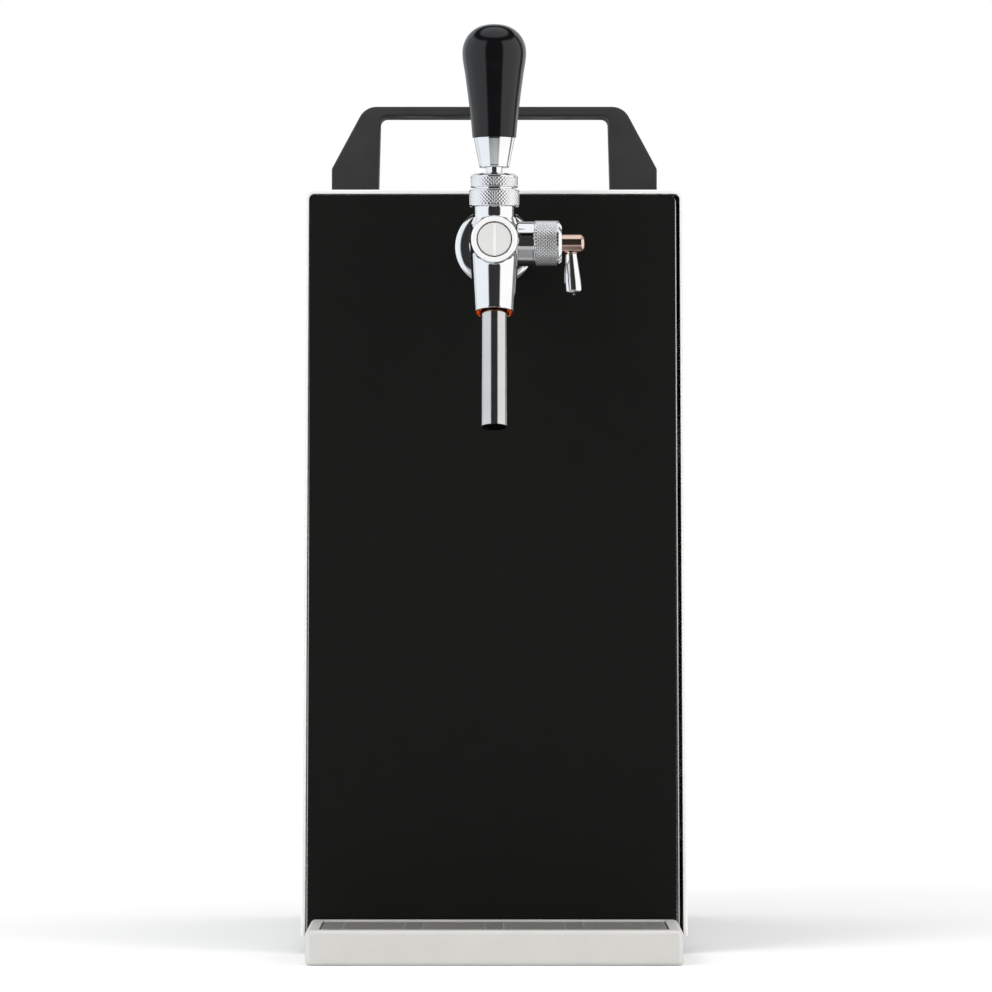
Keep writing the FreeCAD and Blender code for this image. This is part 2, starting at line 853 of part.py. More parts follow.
def tap_body():
    """The casting with its crossing bores: level bore, ball seat, spout bore and compensator bore."""
    body = body_outside()
    level = turned([(0, -barrel_front - over), (plug_well_radius, -barrel_front - over),
                    (plug_well_radius, -barrel_front + plug_well_depth),
                    (plug_thread_radius, -barrel_front + plug_well_depth),
                    (plug_thread_radius, plug_floor), (valve_bore_radius, plug_floor),
                    (valve_bore_radius, valve_bore_end), (chamber_radius, valve_bore_end),
                    (chamber_radius, barrel_rear + union_thread + over), (0,
                                                                          barrel_rear + union_thread + over)],
                   along_tap(0), Y_AXIS)
    swing = turned([(0, 0), (lever_bore_radius, 0), (lever_bore_radius, lever_bore_top),
                    (seat_mouth, seat_floor), (seat_mouth, seat_split + over), (0, seat_split + over)],
                   along_tap(0), Z_AXIS)
    socket = Part.makeSphere(ball_radius + fit_gap, ball_centre())
    outlet = turned([(0, 0), (outlet_radius, 0), (outlet_radius, cone_end - spout_insert),
                     (spout_radius, cone_end - spout_insert), (spout_radius, cone_end - cone_well_depth),
                     (cone_well_radius, cone_end - cone_well_depth), (cone_well_radius, cone_end + over),
                     (0, cone_end + over)], along_tap(0), lean())
    stem = turned([(0, 0), (comp_pivot_radius + running, 0), (comp_pivot_radius + running, comp_step),
                   (comp_stem_radius + running, comp_step), (comp_stem_radius + running,
                                                             comp_thread_end + over),
                   (0, comp_thread_end + over)], along_tap(comp_back), X_AXIS)
    return body.cut(level).cut(swing).cut(socket).cut(outlet).cut(stem).cut(ball_seal()).cut(spout_seal())


def front_plug():
    """The slotted screw that closes the level bore."""
    front = -barrel_front + plug_step
    plug = turned([(0, front), (plug_radius - plug_edge, front), (plug_radius, front + plug_edge),
                   (plug_radius, -barrel_front + plug_well_depth),
                   (plug_thread_radius, -barrel_front + plug_well_depth),
                   (plug_thread_radius, plug_floor - plug_washer_thickness),
                   (0, plug_floor - plug_washer_thickness)], along_tap(0), Y_AXIS)
    slot = block(-plug_slot / 2, plug_slot / 2, barrel_y - barrel_front - over,
                 barrel_y + front + plug_slot_depth,
                 tap_z - plug_radius, tap_z + plug_radius)
    return plug.cut(slot)


def plug_washer():
    start = along_tap(plug_floor - plug_washer_thickness)
    return ring(plug_thread_radius, valve_bore_radius + fit_gap, plug_washer_thickness, start, Y_AXIS)


def ball_seal():
    """The ring that the ball slides on, in a groove at the split of its seat."""
    return Part.makeTorus(ball_seal_radius, ball_seal_section, along_tap(0) + Z_AXIS * seat_split, Z_AXIS)


def neck_nut():
    """The lower knurled collar, which clamps the cap on the neck."""
    low = neck_top
    high = neck_top + lower_collar_length
    return turned([(thread_radius, low), (lower_collar_radius - collar_edge, low),
                   (lower_collar_radius, low + collar_edge), (lower_collar_radius, high - collar_edge),
                   (lower_collar_radius - collar_edge, high), (thread_radius, high)], along_tap(0), Z_AXIS)


def ball_cap():
    """The upper knurled collar, whose inside holds the ball down."""
    split = neck_top + lower_collar_length
    low = split + groove_length
    high = low + upper_collar_length
    cap = turned([(0, seat_split), (thread_radius, seat_split), (thread_radius, split),
                  (groove_radius, split),
                  (groove_radius, low), (upper_collar_radius - collar_edge, low),
                  (upper_collar_radius, low + collar_edge), (upper_collar_radius,
                                                             high - collar_chamfer_rise),
                  (upper_collar_radius - collar_chamfer_run, high), (0, high)], along_tap(0), Z_AXIS)
    mouth = turned([(0, ball_height + mouth_start), (mouth_neck, ball_height + mouth_start),
                    (collar_mouth, high),
                    (collar_mouth, high + over), (0, high + over)], along_tap(0), Z_AXIS)
    return cap.cut(mouth).cut(Part.makeSphere(ball_radius + fit_gap, ball_centre())).cut(ball_seal())


def ball_lever():
    """The steel lever: finger, ball, stem and the stud that the handle screws on."""
    tip = ball_height - lever_arm
    lever = turned([(0, tip), (lever_finger_radius, tip), (lever_finger_radius, ball_height),
                    (lever_stem_radius, ball_height), (lever_stem_radius, ball_height + ferrule_lift),
                    (lever_stud_radius, ball_height + ferrule_lift),
                    (lever_stud_radius, ball_height + ferrule_lift + lever_stud_length),
                    (0, ball_height + ferrule_lift + lever_stud_length)], along_tap(0), Z_AXIS)
    ball = Part.makeSphere(ball_radius, ball_centre())
    knob = Part.makeSphere(lever_tip_radius, along_tap(0) + Z_AXIS * tip)
    return lever.fuse([ball, knob]).removeSplitter()


def handle_ferrule():
    foot = ball_height + ferrule_lift
    return turned([(lever_stud_radius, foot), (ferrule_lower_radius - ferrule_edge, foot),
                   (ferrule_lower_radius, foot + ferrule_edge), (ferrule_upper_radius,
                                                                 foot + ferrule_length),
                   (lever_stud_radius, foot + ferrule_length)], along_tap(0), Z_AXIS)


def handle_grip():
    """The bulb-shaped grip: a smooth taper that swells towards a domed crown."""
    foot = ball_height + ferrule_lift + ferrule_length
    centre = along_tap(0)
    top = foot + handle_length
    belly = top - handle_max_below_top
    waist = foot + handle_waist_height
    profile = [(ferrule_upper_radius, foot), (handle_waist_radius, waist), (handle_max_radius, belly)]
    side = Part.BSplineCurve()
    side.interpolate([centre + X_AXIS * r + Z_AXIS * z for r, z in profile],
                     Tangents=[V(handle_foot_slope, 0, 1), V(handle_waist_slope, 0, 1), V(0, 0, 1)],
                     TangentFlags=[True, True, True])
    crown = Part.BSplineCurve()
    crown.interpolate([centre + X_AXIS * handle_max_radius + Z_AXIS * belly,
                       centre + X_AXIS * (handle_max_radius * crown_share) + Z_AXIS * (top - handle_max_below_top * crown_drop),
                       centre + Z_AXIS * top],
                      Tangents=[V(0, 0, 1), V(-crown_slope_out, 0, crown_slope_up),
                                V(-1, 0, 0)], TangentFlags=[True, True, True])
    stud_top = ball_height + ferrule_lift + lever_stud_length
    corners = [centre + Z_AXIS * top, centre + Z_AXIS * stud_top,
               centre + X_AXIS * lever_stud_radius + Z_AXIS * stud_top,
               centre + X_AXIS * lever_stud_radius + Z_AXIS * foot,
               centre + X_AXIS * ferrule_upper_radius + Z_AXIS * foot]
    straight = [Part.LineSegment(corners[i], corners[i + 1]).toShape() for i in range(len(corners) - 1)]
    outline = Part.Wire(straight + [side.toShape(), crown.toShape()])
    return Part.Face(outline).revolve(centre, Z_AXIS, 360)


def tap_spool():
    """The valve spool: two guides that the finger moves, and a sealing head in the throat."""
    outline = [(0, spool_front), (spool_radius, spool_front), (spool_radius, -spool_gap_half),
               (spool_neck_radius, -spool_gap_half), (spool_neck_radius, spool_gap_half),
               (spool_radius, spool_gap_half), (spool_radius, spool_rear_guide),
               (spool_neck_radius, spool_rear_guide), (spool_neck_radius, spool_head_start),
               (spool_radius, spool_head_start), (spool_radius, spool_head_end), (0, spool_head_end)]
    spool = turned(outline, along_tap(0), Y_AXIS).cut(spool_seal())
    for side in (-1, 1):
        inner = side * spool_flat
        outer = side * 2 * spool_radius
        spool = spool.cut(block(min(inner, outer), max(inner, outer), barrel_y + spool_gap_half - over,
                                barrel_y + spool_rear_guide + over, tap_z - spool_radius,
                                tap_z + spool_radius))
    return spool


def spool_seal():
    major = valve_bore_radius - spool_seal_section - running
    return Part.makeTorus(major, spool_seal_section, along_tap(spool_seal_at), Y_AXIS)


def spout():
    """The plain steel spout tube, pushed up into the cone."""
    first = cone_end - spout_insert + seat_gap
    tube = ring(spout_radius, spout_radius - spout_wall, spout_end - first, along_tap(0) + lean() * first,
                lean())
    return tube.cut(spout_seal())


def spout_seal():
    centre = along_tap(0) + lean() * (cone_end - spout_insert / 2)
    return Part.makeTorus(spout_radius, spout_seal_section, centre, lean())


def rosette():
    """The polished disc that stands against the front, with its boss towards the tap."""
    back = film_face - barrel_y
    front = back - rosette_thickness
    return turned([(shank_radius, back), (rosette_radius, back), (rosette_radius, front + rosette_chamfer),
                   (rosette_radius - rosette_chamfer, front), (rosette_boss_radius, front),
                   (rosette_boss_radius - rosette_chamfer, front - rosette_boss_length),
                   (shank_radius, front - rosette_boss_length)], along_tap(0), Y_AXIS)


def union_rear():
    return barrel_rear + union_thread + shank_flange_length + union_end_wall


def tap_union_nut():
    """The coupling nut that draws the shank's flange against the casting."""
    front = barrel_rear
    flange = barrel_rear + union_thread + shank_flange_length
    return turned([(union_thread_radius, front), (union_radius - collar_edge, front),
                   (union_radius, front + collar_edge), (union_radius, union_rear() - collar_edge),
                   (union_radius - collar_edge, union_rear()), (shank_radius + running, union_rear()),
                   (shank_radius + running, flange), (union_thread_radius, flange)], along_tap(0), Y_AXIS)


def tap_shank():
    """The threaded tube that carries the tap through the front panel."""
    front = barrel_rear + union_thread
    tail = tap_reach + shank_tail
    return turned([(shank_bore, front), (shank_flange_radius, front), (shank_flange_radius,
                                                                       front + shank_flange_length),
                   (shank_radius, front + shank_flange_length), (shank_radius, tail), (shank_bore, tail)],
                  along_tap(0), Y_AXIS)


def hexagon(radius, start, direction, length):
    """A hexagonal bar from its corner radius, with its corners up."""
    corners = []
    for index in range(6):
        angle = math.radians(30 + 60 * index)
        corners.append(start + X_AXIS * (radius * math.cos(angle)) + Z_AXIS * (radius * math.sin(angle)))
    return Part.Face(Part.makePolygon(corners + [corners[0]])).extrude(direction * length)


def panel_back():
    return panel_recess + sheet


def shank_washer():
    return ring(shank_washer_radius, shank_radius, shank_washer_thickness, V(0, panel_back(), tap_z),
                Y_AXIS)


def shank_nut():
    start = V(0, panel_back() + shank_washer_thickness, tap_z)
    return hexagon(shank_nut_radius, start, Y_AXIS, shank_nut_length).cut(
        rod(shank_radius, shank_nut_length + 2 * over, start - Y_AXIS * over, Y_AXIS))


def comp_at(distance):
    return along_tap(comp_back) + X_AXIS * distance


def compensator_cone():
    """The flow cone in the inlet bore, with the slot that the stem's offset pin works in."""
    cone = turned([(0, comp_cone_start), (comp_cone_nose, comp_cone_start), (comp_cone_radius,
                                                                             comp_cone_shoulder),
                   (comp_cone_radius, comp_cone_end), (0, comp_cone_end)], along_tap(0), Y_AXIS)
    half = comp_pin_radius + comp_slot_gap
    rise = comp_pin_radius + comp_eccentric + comp_slot_gap
    slot = block(comp_pin_start - comp_slot_gap, comp_cone_radius + over, barrel_y + comp_back - half,
                 barrel_y + comp_back + half, tap_z - rise, tap_z + rise)
    return cone.cut(slot)


def lever_heading():
    """The way that the lever hangs: down, and a little outwards."""
    return V(comp_lever_lean, 0, -comp_lever_length).normalize()


def compensator_lever():
    """The hanging lever: a tapered round bar with a shank that passes into the stem."""
    length = comp_lever_length
    foot = comp_lever_foot_radius
    start = comp_at(comp_lever_at)
    outline = [(0, -comp_lever_shank), (comp_lever_shank, -comp_lever_shank),
               (comp_lever_shank, comp_stem_radius), (comp_lever_top_radius, comp_stem_radius + seat_gap),
               (foot, length * comp_lever_swell), (foot, length - comp_lever_foot_chamfer),
               (foot - comp_lever_foot_chamfer, length), (0, length)]
    return turned(outline, start, lever_heading())


def compensator_stem():
    """The turning stem: domed outer end, step against the nut and the offset pin inside."""
    stem = turned([(0, comp_pivot_start), (comp_pivot_radius, comp_pivot_start), (comp_pivot_radius,
                                                                                  comp_step + running),
                   (comp_stem_radius, comp_step + running), (comp_stem_radius, comp_stem_end - comp_dome),
                   (comp_stem_radius * stem_dome_width, comp_stem_end - comp_dome * stem_dome_rise), (0,
                                                                                                      comp_stem_end)],
                  comp_at(0), X_AXIS)
    pin = rod(comp_pin_radius, comp_pivot_start - comp_pin_start + over,
              comp_at(comp_pin_start) + Z_AXIS * comp_eccentric,
              X_AXIS)
    hole = rod(comp_lever_shank, comp_lever_shank + comp_stem_radius + over,
               comp_at(comp_lever_at) - lever_heading() * comp_lever_shank, lever_heading())
    return stem.fuse(pin).cut(hole)


def compensator_nut():
    """The knurled cap over the stub, with a polished chamfer on its outer end."""
    end = stub_end + comp_nut_length
    return turned([(comp_thread_radius, stub_end), (comp_nut_radius - collar_edge, stub_end),
                   (comp_nut_radius, stub_end + collar_edge), (comp_nut_radius, end - comp_nut_chamfer),
                   (comp_nut_radius - comp_nut_chamfer, end), (comp_stem_radius + running, end),
                   (comp_stem_radius + running, comp_thread_end), (comp_thread_radius, comp_thread_end)],
                  comp_at(0), X_AXIS)


# Cooling block and its tubes

def tube_columns():
    """The places of the block's bores from left to right."""
    return [(index - (block_columns - 1) / 2) * tube_pitch for index in range(block_columns)]


def beer_row_y():
    return foam_front + foam_depth / 2 - tube_pitch / 2


def cold_row_y():
    return foam_front + foam_depth / 2 + tube_pitch / 2


def block_bottom():
    return foam_bottom + foam_wall


def block_top():
    return foam_bottom + foam_height - foam_wall


def cold_block():
    """The aluminium block, bored for the beer tubes in front and the refrigerant tubes behind."""
    half = tube_pitch * block_columns / 2
    middle = foam_front + foam_depth / 2
    body = block(-half, half, middle - tube_pitch, middle + tube_pitch, block_bottom(), block_top())
    height = foam_height
    for x in tube_columns():
        body = body.cut(rod(beer_tube_radius, height, V(x, beer_row_y(), foam_bottom), Z_AXIS))
        body = body.cut(rod(cold_tube_radius, height, V(x, cold_row_y(), foam_bottom), Z_AXIS))
    return body


def serpentine(y, first, last):
    """Up and down runs through the block, turned over outside its ends, between two port heights."""
    columns = tube_columns()
    low = block_bottom() - bend_clear - tube_pitch / 2
    high = block_top() + bend_clear + tube_pitch / 2
    points = [V(columns[0], y, first)]
    for index, x in enumerate(columns):
        ends = (high, high) if index % 2 == 0 else (low, low)
        if index > 0:
            points.append(V(x, y, low if index % 2 == 0 else high))
        if index < len(columns) - 1:
            points.append(V(x, y, ends[0]))
    points.append(V(columns[-1], y, last))
    return points


def beer_coil():
    """The steel beer tube: in at the lower left, through the block and out at the lower right."""
    port = foam_bottom - port_rise
    return pipe(serpentine(beer_row_y(), port, port), tube_pitch / 2 - near, beer_tube_radius)


def evaporator_coil():
    port = foam_bottom - port_rise
    return pipe(serpentine(cold_row_y(), port, port), tube_pitch / 2 - near, cold_tube_radius)


def insulation():
    """The foam box round the block, hollowed for it and passed by the four ports."""
    foam = block(-foam_half_width, foam_half_width, foam_front, foam_front + foam_depth, foam_bottom,
                 foam_bottom + foam_height)
    foam = foam.makeFillet(foam_edge, foam.Edges)
    half = tube_pitch * block_columns / 2
    middle = foam_front + foam_depth / 2
    reach = tube_pitch / 2 + bend_clear + beer_tube_radius + seat_gap
    room = block(-half, half, middle - tube_pitch, middle + tube_pitch, block_bottom() - reach,
                 block_top() + reach)
    foam = foam.cut(room)
    for x in (tube_columns()[0], tube_columns()[-1]):
        foam = foam.cut(rod(beer_tube_radius, foam_wall, V(x, beer_row_y(), foam_bottom - over), Z_AXIS))
        foam = foam.cut(rod(cold_tube_radius, foam_wall, V(x, cold_row_y(), foam_bottom - over), Z_AXIS))
    return foam


# Condenser, fan and compressor

def condenser_y():
    return case_depth - condenser_from_rear - condenser_depth / 2


def condenser_heights():
    span = condenser_height - 2 * condenser_tube_margin
    return [condenser_bottom + condenser_tube_margin + span * index / (condenser_passes - 1)
            for index in range(condenser_passes)]


def condenser_fins():
    """A pack of thin upright fins, drilled for the tube passes."""
    span = 2 * condenser_half_width - fin_thickness
    drills = [rod(condenser_tube_radius, 4 * condenser_half_width, V(-2 * condenser_half_width,
                                                                     condenser_y(), z), X_AXIS)
              for z in condenser_heights()]
    fins = []
    for index in range(fin_count):
        x = -condenser_half_width + span * index / (fin_count - 1)
        fin = block(x, x + fin_thickness, condenser_y() - condenser_depth / 2,
                    condenser_y() + condenser_depth / 2,
                    condenser_bottom, condenser_bottom + condenser_height)
        fins.append(fin.cut(Part.makeCompound(drills)))
    return Part.makeCompound(fins)


def condenser_coil():
    """One copper tube that crosses the fins back and forth, turned over outside the pack."""
    heights = condenser_heights()
    bend = (heights[1] - heights[0]) / 2
    reach = condenser_half_width + bend_clear + bend
    points = [V(-reach, condenser_y(), heights[0])]
    side = 1
    for index, z in enumerate(heights[:-1]):
        points.append(V(side * reach, condenser_y(), z))
        points.append(V(side * reach, condenser_y(), heights[index + 1]))
        side = -side
    points.append(V(side * reach, condenser_y(), heights[-1]))
    return pipe(points, bend - near, condenser_tube_radius)


def fan_centre(y):
    return V(0, y, condenser_bottom + condenser_height / 2)


def fan_plate_y():
    return condenser_y() - condenser_depth / 2 - fan_plate_gap - fan_plate_thickness


def fan_shroud():
    """The square plate with its ring, and the arms that carry the motor in front of it."""
    plate_y = fan_plate_y()
    centre = fan_centre(plate_y)
    plate = block(-fan_plate_half, fan_plate_half, plate_y, plate_y + fan_plate_thickness,
                  centre.z - fan_plate_half, centre.z + fan_plate_half)
    rim = rod(fan_ring_radius + fan_ring_wall, fan_ring_length, centre - Y_AXIS * fan_ring_length, Y_AXIS)
    tunnel = rod(fan_ring_radius, fan_ring_length + fan_plate_thickness + 2 * over,
                 centre - Y_AXIS * (fan_ring_length + over), Y_AXIS)
    shroud = plate.fuse(rim).cut(tunnel)
    back = plate_y - fan_ring_length - fan_arm_width
    reach = fan_ring_radius + fan_ring_wall
    cross = block(-reach, reach, back, back + fan_arm_width, centre.z - fan_arm_width / 2,
                  centre.z + fan_arm_width / 2)
    upright = block(-fan_arm_width / 2, fan_arm_width / 2, back, back + fan_arm_width, centre.z - reach,
                    centre.z + reach)
    hole = rod(fan_motor_radius, 3 * fan_arm_width, V(0, back - fan_arm_width, centre.z), Y_AXIS)
    return shroud.fuse([cross, upright]).cut(hole).removeSplitter()


def fan_back():
    return fan_plate_y() - fan_ring_length


def fan_motor():
    """The motor can with its shaft towards the blades."""
    start = fan_centre(fan_back() - fan_motor_length)
    can = rod(fan_motor_radius, fan_motor_length - seat_gap, start, Y_AXIS)
    can = can.makeFillet(fan_ring_wall, [edge for edge in can.Edges if edge.Length > 4 * fan_motor_radius])
    shaft = rod(fan_shaft_radius, fan_hub_length, start + Y_AXIS * (fan_motor_length - over), Y_AXIS)
    return can.fuse(shaft)


def fan_rotor():
    """A hub and twisted blades that run inside the ring."""
    start = fan_centre(fan_back() + seat_gap)
    hub = rod(fan_hub_radius, fan_hub_length, start, Y_AXIS)
    hub = hub.makeFillet(fan_ring_wall, [edge for edge in hub.Edges if edge.BoundBox.YMin > start.y + over])
    tip = fan_ring_radius - fan_blade_tip_gap
    middle = start + Y_AXIS * (fan_hub_length / 2)
    blades = []
    for index in range(fan_blade_count):
        root_section = blade_section(fan_hub_radius - 2 * over, fan_blade_twist)
        tip_section = blade_section(tip, fan_blade_twist / 2)
        blade = Part.makeLoft([root_section, tip_section], True, True)
        blade.rotate(V(0, 0, 0), Y_AXIS, 360 * index / fan_blade_count)
        blade.translate(middle)
        blades.append(blade)
    rotor = hub.fuse(blades)
    return rotor.cut(rod(fan_shaft_radius + running, fan_hub_length + 2 * over, start - Y_AXIS * over,
                         Y_AXIS))


def blade_section(radius, pitch):
    """A thin rectangle across the blade at one radius, tilted by its pitch."""
    half = fan_blade_width / 2
    thin = fan_blade_thickness / 2
    angle = math.radians(pitch)
    chord = V(math.cos(angle), math.sin(angle), 0)
    normal = V(-math.sin(angle), math.cos(angle), 0)
    centre = Z_AXIS * radius
    limit = (fan_hub_length / 2 - over) / math.sin(angle)
    half = min(half, limit)
    corners = [centre + chord * (a * half) + normal * (b * thin) for a, b in ((-1, -1), (1, -1), (1, 1),
                                                                              (-1, 1))]
    return Part.makePolygon(corners + [corners[0]])


def compressor_centre():
    return V(0, case_depth - comp_from_rear, case_bottom + sheet + mount_height)


def compressor():
    """The welded steel can with its seam, domed ends and mounting feet."""
    centre = compressor_centre()
    lift = comp_foot_thickness
    outline = [(0, lift), (comp_radius - shell_dome / 2, lift), (comp_radius, lift + shell_dome / 2),
               (comp_radius, comp_seam_height), (comp_radius + comp_seam_lip, comp_seam_height),
               (comp_radius + comp_seam_lip, comp_seam_height + comp_seam_lip),
               (comp_radius, comp_seam_height + comp_seam_lip), (comp_radius, comp_height - shell_dome),
               (comp_radius * comp_shoulder_share,
                comp_height - shell_dome * comp_shoulder_drop), (comp_radius * comp_crown_share,
                                                                 comp_height),
               (0, comp_height)]
    can = turned(outline, centre, Z_AXIS)
    feet_bar = []
    for y in (-1, 1):
        across = centre.y + y * (comp_radius - comp_foot_width)
        feet_bar.append(block(-comp_foot_half, comp_foot_half, across - comp_foot_width / 2,
                              across + comp_foot_width / 2, centre.z, centre.z + lift + over))
    can = can.fuse(feet_bar)
    for x, y in mount_places():
        can = can.cut(rod(mount_bolt_radius, 4 * lift, V(x, y, centre.z - lift), Z_AXIS))
    return can.removeSplitter()


def mount_places():
    centre = compressor_centre()
    x = comp_foot_half - mount_radius
    y = comp_radius - comp_foot_width
    return [(side * x, centre.y + end * y) for side in (-1, 1) for end in (-1, 1)]


def compressor_mounts():
    """Four rubber grommets with a pin through each compressor foot."""
    low = case_bottom + sheet
    top = mount_height + comp_foot_thickness + over
    outline = [(0, 0), (mount_radius, 0), (mount_radius * mount_waist, mount_height / 2),
               (mount_radius, mount_height),
               (mount_bolt_radius, mount_height), (mount_bolt_radius, top + over), (0, top + over)]
    return Part.makeCompound([turned(outline, V(x, y, low), Z_AXIS) for x, y in mount_places()])


# Air pump and drier

def air_pump():
    """The pump's moulded block on four short legs, with its outlet stub behind."""
    low = case_bottom + sheet
    body = block(-pump_half_width, pump_half_width, pump_front, pump_front + pump_depth, low + pump_foot,
                 low + pump_foot + pump_height)
    body = body.makeFillet(pump_edge, body.Edges)
    legs = []
    for x in (-1, 1):
        for y in (0, 1):
            leg_y = pump_front + 2 * pump_foot + y * (pump_depth - 4 * pump_foot)
            legs.append(rod(pump_foot, pump_foot + pump_edge, V(x * (pump_half_width - 2 * pump_foot),
                                                                leg_y, low),
                            Z_AXIS))
    port = rod(pump_port_radius, pump_port_length + over,
               V(0, pump_front + pump_depth - over, low + pump_foot + pump_height / 2), Y_AXIS)
    return body.fuse(legs + [port]).removeSplitter()


def drier_place():
    return V(-case_half + foam_wall, foam_front + foam_depth + foam_wall, block_bottom() - drier_length)


def filter_drier():
    """The spun copper drier, necked down at both ends."""
    neck = service_tube_radius
    outline = [(0, 0), (neck, 0), (neck, neck * 2), (drier_radius, neck * 5),
               (drier_radius, drier_length - neck * 5),
               (neck, drier_length - neck * 2), (neck, drier_length), (0, drier_length)]
    return turned(outline, drier_place(), Z_AXIS)


# Shelf, brackets, pipes and hoses

def cooler_shelf():
    """The sheet that carries the foam box: folded down at both sides, holed for the ports and a hose."""
    half = half_at(foam_bottom) - sheet - running
    rear = foam_front + foam_depth
    shelf = block(-half, half, foam_front, rear, foam_bottom - shelf_drop, foam_bottom)
    hollow = block(-half + sheet, half - sheet, foam_front - over, rear + over,
                   foam_bottom - shelf_drop - over,
                   foam_bottom - sheet)
    shelf = shelf.cut(hollow)
    for x in (tube_columns()[0], tube_columns()[-1]):
        shelf = shelf.cut(rod(beer_tube_radius + hole_clear, 4 * sheet, V(x, beer_row_y(),
                                                                          foam_bottom - 2 * sheet),
                              Z_AXIS))
        shelf = shelf.cut(rod(cold_tube_radius + hole_clear, 4 * sheet, V(x, cold_row_y(),
                                                                          foam_bottom - 2 * sheet),
                              Z_AXIS))
    return shelf.cut(rod(hose_radius + hole_clear, 4 * sheet, V(-hose_side, beer_row_y(),
                                                                foam_bottom - 2 * sheet),
                         Z_AXIS))


def condenser_bracket():
    """Two upright side plates that carry the fins and the fan plate on the floor."""
    low = case_bottom + sheet
    front = fan_plate_y()
    rear = condenser_y() + condenser_depth / 2
    sides = []
    for side in (-1, 1):
        inner = side * condenser_half_width
        outer = side * (condenser_half_width + bracket_sheet)
        x0, x1 = min(inner, outer), max(inner, outer)
        upper = block(x0, x1, front, rear, condenser_bottom, condenser_bottom + condenser_height)
        leg = block(x0, x1, front, front + bracket_leg, low, condenser_bottom + over)
        foot_edge = side * (condenser_half_width + bracket_foot)
        foot = block(min(inner, foot_edge), max(inner, foot_edge), front, front + bracket_leg, low,
                     low + bracket_sheet)
        plate = upper.fuse([leg, foot])
        for z in condenser_heights():
            plate = plate.cut(rod(condenser_tube_radius, 6 * bracket_sheet, V(x0 - 2 * bracket_sheet,
                                                                              condenser_y(), z),
                                  X_AXIS))
        sides.append(plate.removeSplitter())
    return Part.makeCompound(sides)


def condenser_reach():
    heights = condenser_heights()
    return condenser_half_width + bend_clear + (heights[1] - heights[0]) / 2


def refrigerant_lines():
    """Discharge, liquid, capillary and suction tubes, in the order that the refrigerant goes round."""
    centre = compressor_centre()
    heights = condenser_heights()
    reach = condenser_reach()
    port_z = foam_bottom - port_rise
    x = tube_columns()[-1]
    side = -(case_half - pipe_side_gap)
    near = side + pipe_pitch
    drier = drier_place()
    drier_top = drier.z + drier_length
    discharge = pipe([V(-comp_radius + over, centre.y, centre.z + discharge_rise),
                      V(near, centre.y, centre.z + discharge_rise), V(near, centre.y, heights[-1]),
                      V(near, condenser_y(), heights[-1]), V(-reach, condenser_y(), heights[-1])],
                     near_bend, service_tube_radius)
    liquid = pipe([V(-reach, condenser_y(), heights[0]), V(side, condenser_y(), heights[0]),
                   V(side, drier.y, heights[0]), V(drier.x, drier.y, heights[0]), V(drier.x, drier.y,
                                                                                    drier_top)],
                  near_bend, service_tube_radius)
    capillary = pipe([drier, drier - Z_AXIS * capillary_drop, V(drier.x, cold_row_y(),
                                                                drier.z - capillary_drop),
                      V(-x, cold_row_y(), drier.z - capillary_drop), V(-x, cold_row_y(), port_z)],
                     capillary_bend, capillary_radius)
    suction = pipe([V(x, cold_row_y(), port_z), V(x, cold_row_y(), port_z - suction_drop),
                    V(x, centre.y - comp_radius - suction_gap, port_z - suction_drop),
                    V(x, centre.y - comp_radius - suction_gap, centre.z + suction_rise),
                    V(x, centre.y, centre.z + suction_rise)], near_bend, service_tube_radius)
    body = compressor()
    suction = largest(suction.cut(body))
    discharge = largest(discharge.cut(body))
    return Part.makeCompound([discharge, liquid, capillary, suction])


def largest(shape):
    """The biggest solid of a shape that a cut has split."""
    return max(shape.Solids, key=lambda solid: solid.Volume)


def beer_supply_hose():
    """From the rear fitting forward along the right wall, then up to the coil's right port."""
    x = tube_columns()[-1]
    z = fitting_bottom
    turn = foam_bottom - port_rise - hose_drop
    return pipe([V(fitting_x, rear_plane - fitting_in, z), V(fitting_x, beer_row_y(), z),
                 V(fitting_x, beer_row_y(), turn),
                 V(x, beer_row_y(), turn), V(x, beer_row_y(),
                                             foam_bottom - port_rise)], hose_bend, hose_radius)


def beer_tap_hose():
    """From the coil's left port up beside the foam and over it to the shank's tail."""
    x = tube_columns()[0]
    turn = foam_bottom - port_rise - hose_drop
    return pipe([V(x, beer_row_y(), foam_bottom - port_rise), V(x, beer_row_y(), turn),
                 V(-hose_side, beer_row_y(), turn),
                 V(-hose_side, beer_row_y(), tap_z), V(0, beer_row_y(), tap_z), V(0, shank_tail, tap_z)],
                hose_bend, hose_radius)


def air_hose():
    """From the pump's stub to the rear air fitting, above the beer hose."""
    start = V(0, pump_front + pump_depth + pump_port_length,
              case_bottom + sheet + pump_foot + pump_height / 2)
    z = fitting_bottom + fitting_spacing
    y = start.y + air_hose_turn
    return pipe([start, V(0, y, start.z), V(0, y, z), V(fitting_x, y, z),
                 V(fitting_x, rear_plane - fitting_in, z)],
                hose_bend, air_hose_radius)


# Rear fittings

def push_fit(z, port):
    """A push-in tube connector: flange on the panel, threaded tail, and a stepped mouth."""
    mouth = port + collet_wall
    outline = [(port, -fitting_in + fitting_wall), (port, fitting_out - collet_length - seat_gap),
               (mouth + running, fitting_out - collet_length - seat_gap), (mouth + running, fitting_out),
               (fitting_radius - sheet, fitting_out), (fitting_radius, fitting_out - sheet),
               (fitting_radius, fitting_flange_thickness), (fitting_flange, fitting_flange_thickness),
               (fitting_flange, 0), (fitting_radius, 0), (fitting_radius, -fitting_in), (0, -fitting_in),
               (0, -fitting_in + fitting_wall)]
    return turned(outline, V(fitting_x, rear_plane, z), Y_AXIS)


